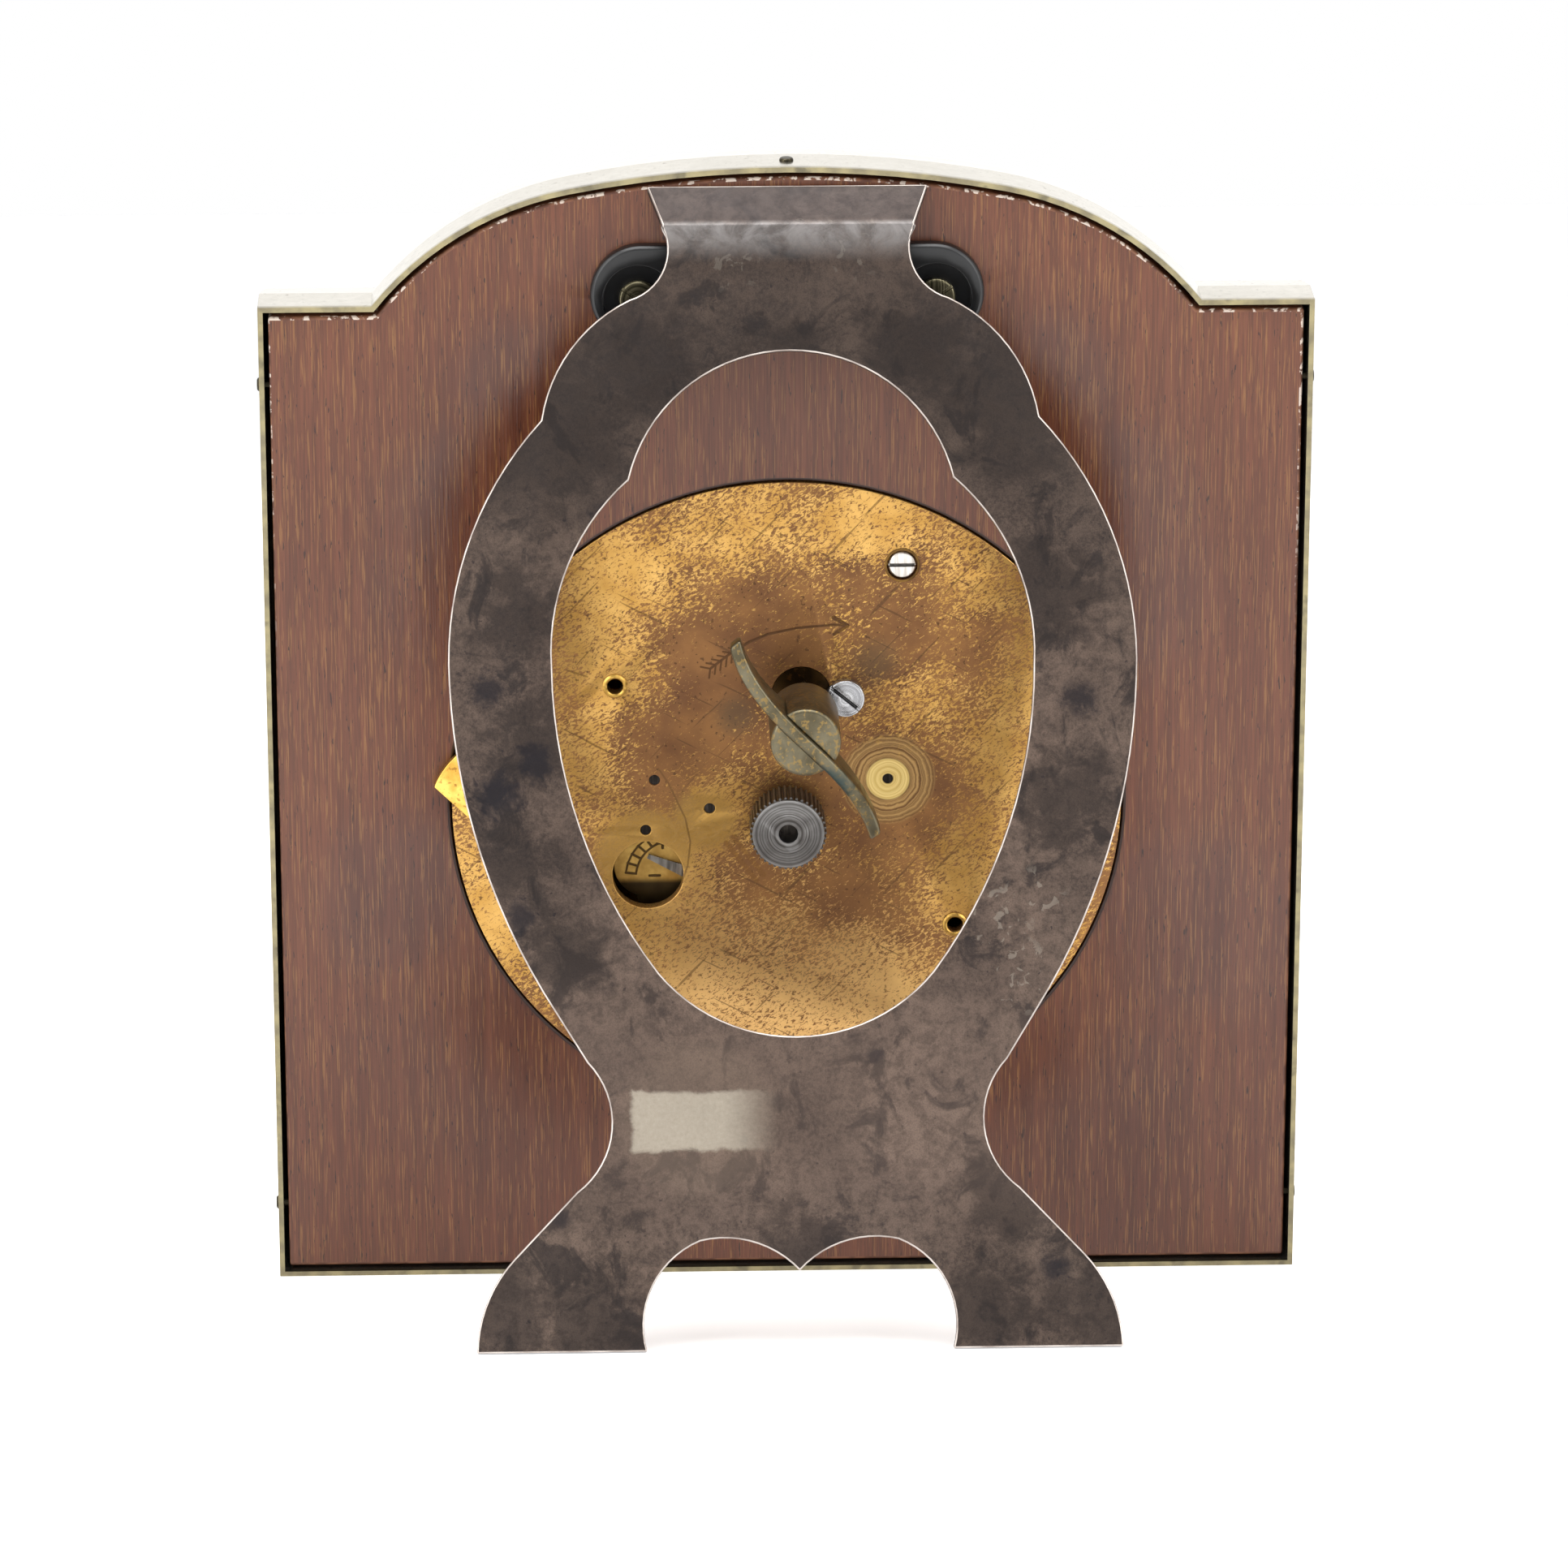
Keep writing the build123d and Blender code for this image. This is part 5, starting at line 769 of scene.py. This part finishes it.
def make_plate_brass():
    """Lacquered brass of the plate: bright where the lacquer holds, brown and speckled where it has gone."""
    finish = Finish("plate_brass")
    cloud = finish.blotches(0.075, softness=0.2, detail=4.0, distortion=0.5)["Noise"]
    streak = finish.blotches(3.0, spread=(0.65, 1, 1.3), detail=7.0, distortion=0.8, crispness=0.72,
                             place=finish.turned_place(STREAK_ANGLE))["Noise"]
    colour, lacquer, tone = lacquered_ground(finish, cloud, streak)
    for angle in HAIRLINE_ANGLES:
        hairline = finish.blotches(1.1, 0.72, 0.02, spread=(0.1, 1, 2.2), detail=1.0,
                                   place=finish.turned_place(angle))["Mask"]
        colour = finish.tint(colour, hairline, 0.6, BRASS["hairline"])
    grime = finish.most(
        finish.spot(*on_plate((x, z)), radius, softness, 3.0, streak)["Mask"]
        for x, z, radius, softness in GRIME
    )
    colour = finish.tint(colour, grime, 0.5, BRASS["grime"])
    sink = finish.rings(*on_plate(SINK_PLACE), 0.42, 0.5)
    in_sink = finish.fall(sink["Distance"], SINK_RADIUS - 0.5, SINK_RADIUS + 0.2)
    in_disc = finish.fall(sink["Distance"], SINK_DISC_RADIUS - 0.1, SINK_DISC_RADIUS + 0.15)
    ring_colour = finish.mix(sink["Rings"], BRASS["ring dark"], BRASS["ring light"])
    disc_rings = finish.rings(*on_plate(SINK_PLACE), 0.25)["Rings"]
    disc_colour = finish.mix(disc_rings, BRASS["disc dark"], BRASS["disc light"])
    colour = finish.tint(colour, in_sink, 0.75, ring_colour)
    colour = finish.mix(in_disc, colour, disc_colour)
    smooth = finish.most(
        finish.spot(*on_plate((x, z)), radius, softness, raggedness, cloud)["Mask"]
        for x, z, radius, softness, raggedness in SMOOTH_GROUNDS
    )
    colour = finish.tint(colour, smooth, 0.8, BRASS["smooth"])
    shaft = finish.strokes(plate_strokes([ARROW_SHAFT]), 0.17)
    barbs = finish.strokes(plate_strokes([barb, ARROW_SHAFT[-1]] for barb in ARROW_BARBS), 0.26)
    feathers = finish.strokes(plate_strokes(feather_paths()), 0.13)
    marks = finish.strokes(plate_strokes(SETTING_MARK), 0.34)
    scratched = finish.strokes(plate_strokes(SCRATCHES), 0.12)
    colour = finish.tint(colour, finish.most([shaft, barbs, feathers]), 0.85, BRASS["engraved"])
    colour = finish.tint(colour, marks, 0.7, BRASS["mark"])
    colour = finish.tint(colour, scratched, 0.6, BRASS["scratch"])
    height = finish.math("ADD", finish.times(sink["Rings"], in_sink, 0.7), finish.times(tone, 0.6))
    for cut in (shaft, barbs):
        height = finish.math("SUBTRACT", height, cut)
    finish.bump(height, 0.05, 0.7)
    metal = finish.ramp(lacquer, 0.0, 1.0, 0.55, 0.85)
    rough = finish.ramp(lacquer, 0.0, 1.0, 0.5, 0.33)
    return finish.set(Base_Color=colour, Metallic=metal, Roughness=rough)


# Finishes, movement and small parts

# Painted shade in the slots of the screws that show, by their ends: a pillar screw's level and the click
# screw's slanted
SLOT_SHADE_WIDTH = 0.2
PILLAR_SLOTS = [((-12.3, 74.2), (-10.1, 74.2))]
CLICK_SLOTS = [((-6.75, 59.87), (-4.65, 61.63))]
# Blue-green stain on the key's wing, as x, height, radius and softness
KEY_STAIN = (-3.4, 56.6, 2.2, 0.7)


def make_plain_brass(name, light, dark, rough=0.3):
    """Brass with soft brown spots."""
    finish = Finish(name)
    cloud = finish.blotches(0.5, softness=0.2, distortion=0.4)
    spots = finish.blotches(2.2, 0.62, 0.05, detail=5.0)["Mask"]
    colour = finish.mix(cloud["Mask"], light, dark)
    colour = finish.tint(colour, spots, 0.6, "6a451f")
    finish.bump(cloud["Noise"], 0.02, 0.4)
    return finish.set(Base_Color=colour, Metallic=0.88, Roughness=rough)


def make_steel(name, light, dark, centre=None, pitch=0.3, rough=0.28, slots=()):
    """Steel, turned in rings where a centre is given and brushed elsewhere, with painted shade along its
    screw slots.
    """
    finish = Finish(name)
    wear = finish.blotches(0.9, softness=0.2)["Mask"]
    if centre:
        rings = finish.rings(*centre, pitch, 0.02)["Rings"]
    else:
        rings = finish.blotches(3.0, softness=0.2, spread=(1, 1, 0.1), detail=5.0)["Mask"]
    colour = finish.mix(rings, dark, light)
    colour = finish.tint(colour, wear, 0.35, dark)
    for start, end in slots:
        # Painted shade in the screw slot
        colour = finish.tint(colour, finish.stroke(start, end, SLOT_SHADE_WIDTH), 0.9, "0d0b09")
    finish.bump(rings, 0.02, 0.5)
    return finish.set(Base_Color=colour, Metallic=0.92, Roughness=rough)


def make_key_metal(name, stained_wing=False):
    """Worn nickel over brass, olive grey with brassy specks; the wing's lower half has a blue-green stain."""
    finish = Finish(name)
    cloud = finish.blotches(0.35, softness=0.2, detail=7.0, distortion=0.5)
    specks = finish.blotches(2.6, 0.58, 0.06)
    colour = finish.mix(cloud["Mask"], "4f4836", "6e6753")
    colour = finish.tint(colour, specks["Mask"], 0.7, "8d7342")
    if stained_wing:
        stain = finish.spot(*KEY_STAIN, 2.6, cloud["Noise"])["Mask"]
        colour = finish.tint(colour, stain, 0.85, "26383a")
    finish.bump(specks["Noise"], 0.03, 0.5)
    return finish.set(Base_Color=colour, Metallic=0.85, Roughness=0.33)


def make_plain_finish(name, scale, first, second, threshold=0.5, softness=0.1, **sockets):
    """Two close tones in soft patches."""
    finish = Finish(name)
    patches = finish.blotches(scale, threshold, softness)["Mask"]
    return finish.set(Base_Color=finish.mix(patches, first, second), **sockets)


def make_black_enamel():
    return make_plain_finish("black_hinge_enamel", 0.5, "040405", "0c0d0f", 0.55, 0.2,
                             Roughness=0.36, Coat_Weight=0.1, Coat_Roughness=0.2)


def make_ink():
    return make_plain_finish("dial_ink", 1.0, "121216", "1d1d22", Roughness=0.4)


def make_blued_steel():
    return make_plain_finish("blued_steel", 0.6, "101b45", "1b2a60", Metallic=0.9, Roughness=0.25)


def make_glass():
    finish = Finish("dial_crystal")
    haze = finish.blotches(0.2, softness=0.3)["Mask"]
    colour = finish.mix(haze, (0.97, 0.99, 0.98, 1), WHITE)
    return finish.set(Base_Color=colour, Roughness=0.02, Transmission_Weight=1.0, IOR=1.45)


TRACK_RADIUS = 25.4
TRACK_WIDTH = 2.0
TRACK_LINE = 0.08
MINUTES_IN_RADIAN = 30 / pi


def make_dial_enamel():
    """White dial with a printed minute track."""
    finish = Finish("dial_enamel")
    away = finish.spot(0, DIAL_HEIGHT, TRACK_RADIUS, 0.1)["Distance"]
    angle = finish.math("ARCTAN2", finish.axis("X"), finish.math("SUBTRACT", finish.axis("Z"), DIAL_HEIGHT))
    minute = finish.times(angle, MINUTES_IN_RADIAN)
    offset = finish.math("ABSOLUTE", finish.math("SUBTRACT", minute, finish.math("ROUND", minute)))
    tick = finish.fall(offset, 0.05, 0.07)
    inner = TRACK_RADIUS - TRACK_WIDTH
    past_inner = finish.ramp(away, inner, inner + 0.05)
    to_outer = finish.fall(away, TRACK_RADIUS, TRACK_RADIUS + 0.05)
    prints = [finish.times(tick, past_inner, to_outer)]
    for radius in (TRACK_RADIUS, inner):
        gap = finish.math("ABSOLUTE", finish.math("SUBTRACT", away, radius))
        prints.append(finish.fall(gap, TRACK_LINE, TRACK_LINE + 0.04))
    haze = finish.blotches(0.1, softness=0.3)["Mask"]
    colour = finish.mix(haze, "f2efe4", "e9e4d3")
    colour = finish.mix(finish.most(prints), colour, "16161a")
    return finish.set(Base_Color=colour, Roughness=0.2, Coat_Weight=0.3)


# Regulator's scale on the balance cock, from the plate's centre
SCALE_CENTRE = (10.9, -8.8)
SCALE_ANGLES = [6, 18, 30, 42, 54, 66, 78]
SCALE_INNER, SCALE_OUTER = 4.0, 5.0
PLUS_PLACE = (12.2, -5.2)
MINUS_PLACE = (13.0, -8.6)
SIGN_REACH = 0.5
TABLE_SHADE_HEIGHT = 40.7


def scale_point(angle, radius):
    return tuple(Vector(on_plate(SCALE_CENTRE)) + Vector((cos(radians(angle)), sin(radians(angle)))) * radius)


def sign_stroke(place, reach_x, reach_z):
    """Ends of a stroke centred on a place of the plate."""
    middle, reach = Vector(on_plate(place)), Vector((reach_x, reach_z))
    return tuple(middle - reach), tuple(middle + reach)


def make_cock_brass():
    """Brass of the balance cock with the regulator's scale and its plus and minus."""
    finish = Finish("cock_brass")
    wear = finish.blotches(0.8, softness=0.2)["Mask"]
    colour = finish.mix(wear, "b18b45", "d5ae5f")
    ticks = [(scale_point(angle, SCALE_INNER), scale_point(angle, SCALE_OUTER)) for angle in SCALE_ANGLES]
    arcs = [
        (scale_point(first, radius), scale_point(second, radius))
        for first, second in zip(SCALE_ANGLES, SCALE_ANGLES[1:]) for radius in (SCALE_INNER, SCALE_OUTER)
    ]
    signs = [
        sign_stroke(PLUS_PLACE, SIGN_REACH, 0), sign_stroke(PLUS_PLACE, 0, SIGN_REACH),
        sign_stroke(MINUS_PLACE, SIGN_REACH, 0),
    ]
    cut = finish.most([finish.strokes(ticks, 0.15), finish.strokes(arcs, 0.12), finish.strokes(signs, 0.16)])
    colour = finish.tint(colour, cut, 0.9, "3a2712")
    shade = finish.ramp(finish.axis("Z"), TABLE_SHADE_HEIGHT - 0.3, TABLE_SHADE_HEIGHT + 0.5, 0.93, 0.0)
    colour = finish.mix(shade, colour, "0b0805")
    finish.bump(finish.times(cut, -1.0), 0.08)
    return finish.set(Base_Color=colour, Metallic=0.7, Roughness=0.4)


# Pieces

# Merging distance in metres, and angles in degrees of flat faces and of smooth edges
MERGE_DISTANCE = 0.000001
FLAT_ANGLE = 0.3
SMOOTH_ANGLE = 38
TURNED_SMOOTH_ANGLE = 35
TURNED_STEPS = 48
TURN_TO_BACK = -90
TURN_TO_FRONT = 90

NUMERAL_RADIUS = 19.6
NUMERAL_SIZE = 5.6
NUMERAL_LIFT = 0.06
DIAL_DEPTH = 12.9

# Trim at places from the plate's centre; a profile is (radius, height above the back face) points
BUSH_PLACES = [(16.8, 12.2), (-16.6, -13.0)]
BUSH_PROFILE = [
    (0.8, -0.29), (1.22, -0.29), (1.22, -0.2), (1.05, -0.06), (0.92, -0.06), (0.8, -0.16), (0.8, -0.29),
]
SCREW_SINK_PLACE = (-11.2, 24.35)
SCREW_SINK_PROFILE = [(1.5, -0.29), (1.72, -0.29), (1.72, -0.25), (1.6, -0.22), (1.5, -0.25), (1.5, -0.29)]
WINDOW_PLACE = (13.7, -7.5)
TABLE_PROFILE = [(0.0, -3.3), (3.3, -3.3), (3.35, -3.25), (3.35, -3.17), (3.3, -3.12), (0.0, -3.12)]

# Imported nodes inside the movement, by their metal
BRASS_PARTS = [
    "front_plate", "plate_pillars", "mainspring_barrel", "barrel_cover", "intermediate_wheel",
    "centre_wheel", "third_wheel", "fourth_wheel", "escape_wheel", "pallet_cock", "balance_wheel",
    "minute_wheel", "hour_wheel", "dial_feet", "hand_nut",
]
STEEL_PARTS = [
    "fixing_dog_screw", "ratchet_wheel", "click", "click_spring", "mainspring", "centre_pinion",
    "pallet_lever", "pallet_arbor", "balance_staff", "hairspring_stud", "balance_cock_screw",
    "regulator_index", "cannon_pinion", "minute_wheel_stud",
]
PIVOT_PARTS = ["intermediate_pinion", "third_pinion", "fourth_pinion", "escape_pinion", "centre_arbor"]

# Centres of the rings turned into screws and the setting knob
HINGE_SCREW_CENTRE = (14.3, 101.6)
CLICK_SCREW_CENTRE = (-5.7, 60.75)
KNOB_CENTRE = (0, DIAL_HEIGHT)


def dress(material, *nodes):
    """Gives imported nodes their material."""
    for node in nodes:
        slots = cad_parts[node].data.materials
        slots.clear()
        slots.append(material)


def softened(node, body, material, width, edge=None, segments=3, angle=32, clamp=False):
    """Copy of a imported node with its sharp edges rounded, shown in its place."""
    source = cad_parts[node]
    piece = bpy.data.objects.new(node + "_finished", source.data.copy())
    bpy.context.scene.collection.objects.link(piece)
    bpy.ops.object.select_all(action="DESELECT")
    piece.select_set(True)
    bpy.context.view_layer.objects.active = piece
    piece.data.materials.clear()
    piece.data.materials.append(material)
    piece.data.materials.append(edge or material)
    for polygon in piece.data.polygons:
        polygon.material_index = 0
    bpy.ops.object.mode_set(mode="EDIT")
    bpy.ops.mesh.select_all(action="SELECT")
    bpy.ops.mesh.remove_doubles(threshold=MERGE_DISTANCE)
    bpy.ops.mesh.dissolve_limited(angle_limit=radians(FLAT_ANGLE))
    bpy.ops.object.mode_set(mode="OBJECT")
    bevel = piece.modifiers.new("edges", "BEVEL")
    bevel.width = width * MM
    bevel.segments = segments
    bevel.limit_method = "ANGLE"
    bevel.angle_limit = radians(angle)
    bevel.material = 1
    bevel.use_clamp_overlap = clamp
    bpy.ops.object.modifier_apply(modifier="edges")
    bpy.ops.object.shade_smooth_by_angle(angle=radians(SMOOTH_ANGLE))
    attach(piece, body)
    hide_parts(node)
    return piece


def stand_on_back(piece, x, out, up, turn):
    """Moves a flat piece's mesh to its place on the leaning case, turned to its back or its front."""
    place = Matrix.Translation(case_point(x, out, up))
    lean = Matrix.Rotation(-CASE_LEAN, 4, "X")
    piece.data.transform(place @ (lean @ Matrix.Rotation(radians(turn), 4, "X")))


def turned_piece(name, centre, profile, material, body="case"):
    """Solid turned about the case's depth axis from a profile."""
    bpy.ops.object.select_all(action="DESELECT")
    bpy.ops.mesh.primitive_plane_add(size=MM, location=(0, 0, 0))
    piece = bpy.context.object
    piece.name = name
    bpy.ops.object.mode_set(mode="EDIT")
    bpy.ops.mesh.select_all(action="SELECT")
    bpy.ops.mesh.merge(type="CENTER")
    radius, height = profile[0]
    bpy.ops.transform.translate(value=(radius * MM, 0, height * MM))
    for (from_radius, from_height), (to_radius, to_height) in zip(profile, profile[1:]):
        step = ((to_radius - from_radius) * MM, 0, (to_height - from_height) * MM)
        bpy.ops.mesh.extrude_region_move(TRANSFORM_OT_translate={"value": step})
    bpy.ops.mesh.select_all(action="SELECT")
    bpy.ops.mesh.spin(steps=TURNED_STEPS, angle=2 * pi, center=(0, 0, 0), axis=(0, 0, 1))
    bpy.ops.mesh.select_all(action="SELECT")
    bpy.ops.mesh.remove_doubles(threshold=2 * MERGE_DISTANCE)
    bpy.ops.mesh.normals_make_consistent(inside=False)
    bpy.ops.object.mode_set(mode="OBJECT")
    bpy.ops.object.shade_smooth_by_angle(angle=radians(TURNED_SMOOTH_ANGLE))
    stand_on_back(piece, centre[0], 0, centre[1], TURN_TO_BACK)
    piece.data.materials.append(material)
    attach(piece, body)
    return piece


def make_numerals(material):
    """Plain hour numbers on the dial."""
    for hour in range(1, 13):
        bpy.ops.object.select_all(action="DESELECT")
        bpy.ops.object.text_add(location=(0, 0, 0))
        text = bpy.context.object
        text.name = f"numeral_{hour}"
        text.data.body = str(hour)
        text.data.size = NUMERAL_SIZE * MM
        text.data.align_x = "CENTER"
        text.data.align_y = "CENTER"
        text.data.extrude = NUMERAL_LIFT / 2 * MM
        bpy.ops.object.convert(target="MESH")
        angle = radians(30 * hour)
        x = NUMERAL_RADIUS * sin(angle)
        z = DIAL_HEIGHT + NUMERAL_RADIUS * cos(angle)
        stand_on_back(text, x, -DIAL_DEPTH - NUMERAL_LIFT / 2, z, TURN_TO_FRONT)
        text.data.materials.append(material)
        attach(text, "case")


def dress_case():
    silver = make_case_silver()
    dress(silver, "silver_front")
    softened("wooden_back", "case", make_wood(), 0.3, make_wood_edge())
    softened("front_bezel", "case", silver, 0.1, clamp=True)
    dress(make_steel("pin_steel", "4a4436", "262319", rough=0.4), "case_pins")
    dress(make_glass(), "dial_glass")
    dress(make_dial_enamel(), "dial")
    make_numerals(make_ink())


def dress_strut():
    silver = make_strut_silver()
    softened("strut", "strut", silver, 0.15, make_bright_edge(), angle=30)
    dress(silver, "strut_knuckle")
    softened("hinge_plate", "case", make_black_enamel(), 0.12)
    dress(make_steel("pin_rod_steel", "8b8578", "4c473d"), "hinge_pin")
    olive = make_steel("olive_screw_steel", "7a735c", "3c3828", HINGE_SCREW_CENTRE, 0.25, 0.35)
    softened("hinge_plate_screws", "case", olive, 0.08)


def dress_movement_back():
    """Plate, key, knob and screws, which the photograph shows."""
    dog_brass = make_plain_brass("dog_brass", "f0c765", "c9963f", 0.28)
    pillar_steel = make_steel("bright_screw_steel", "e6e1da", "b0a9a0", rough=0.3, slots=PILLAR_SLOTS)
    click_steel = make_steel("click_screw_steel", "b9b9ba", "8a8a8c", CLICK_SCREW_CENTRE, 0.4, 0.25,
                             CLICK_SLOTS)
    knob_steel = make_steel("knob_steel", "8c8a88", "55524f", KNOB_CENTRE, 0.25, 0.32)
    softened("back_plate", "case", make_plate_brass(), 0.1)
    softened("fixing_dog", "case", dog_brass, 0.12)
    softened("pillar_screws", "case", pillar_steel, 0.06)
    softened("click_screw", "case", click_steel, 0.1)
    softened("setting_knob", "hand_setting", knob_steel, 0.06, segments=2)
    softened("key_pipe", "winding", make_key_metal("key_pipe_metal"), 0.12)
    softened("key_wing", "winding", make_key_metal("key_wing_metal", True), 0.3)
    dress(make_cock_brass(), "balance_cock")
    dress(make_plain_brass("dark_bronze", "4a3416", "2b1d0c"), "winding_arbor")


def dress_movement_inside():
    dress(make_plain_brass("movement_brass", "d9ab55", "b88a3e"), *BRASS_PARTS)
    dress(make_steel("arbor_steel", "b9b6b0", "6d6a66"), *STEEL_PARTS)
    dress(make_steel("pivot_steel", "4b4540", "1f1b18"), *PIVOT_PARTS)
    dress(make_blued_steel(), "hairspring", "hour_hand", "minute_hand")


def make_plate_trim():
    bush = make_plain_brass("bush_brass", "caa250", "8d6a33")
    dark = make_plain_brass("sink_brass", "7a5a2c", "4a3519")
    for number, place in enumerate(BUSH_PLACES, 1):
        turned_piece(f"plate_bush_{number}", on_plate(place), BUSH_PROFILE, bush)
    turned_piece("regulator_table", on_plate(WINDOW_PLACE), TABLE_PROFILE, bpy.data.materials["cock_brass"])
    turned_piece("screw_sink_rim", on_plate(SCREW_SINK_PLACE), SCREW_SINK_PROFILE, dark)


def main():
    bpy.context.scene.view_settings.view_transform = "Standard"
    make_camera()
    for softbox in SOFTBOXES:
        make_softbox(*softbox)
    make_sky()
    make_floor()
    dress_case()
    dress_strut()
    dress_movement_back()
    dress_movement_inside()
    make_plate_trim()


main()
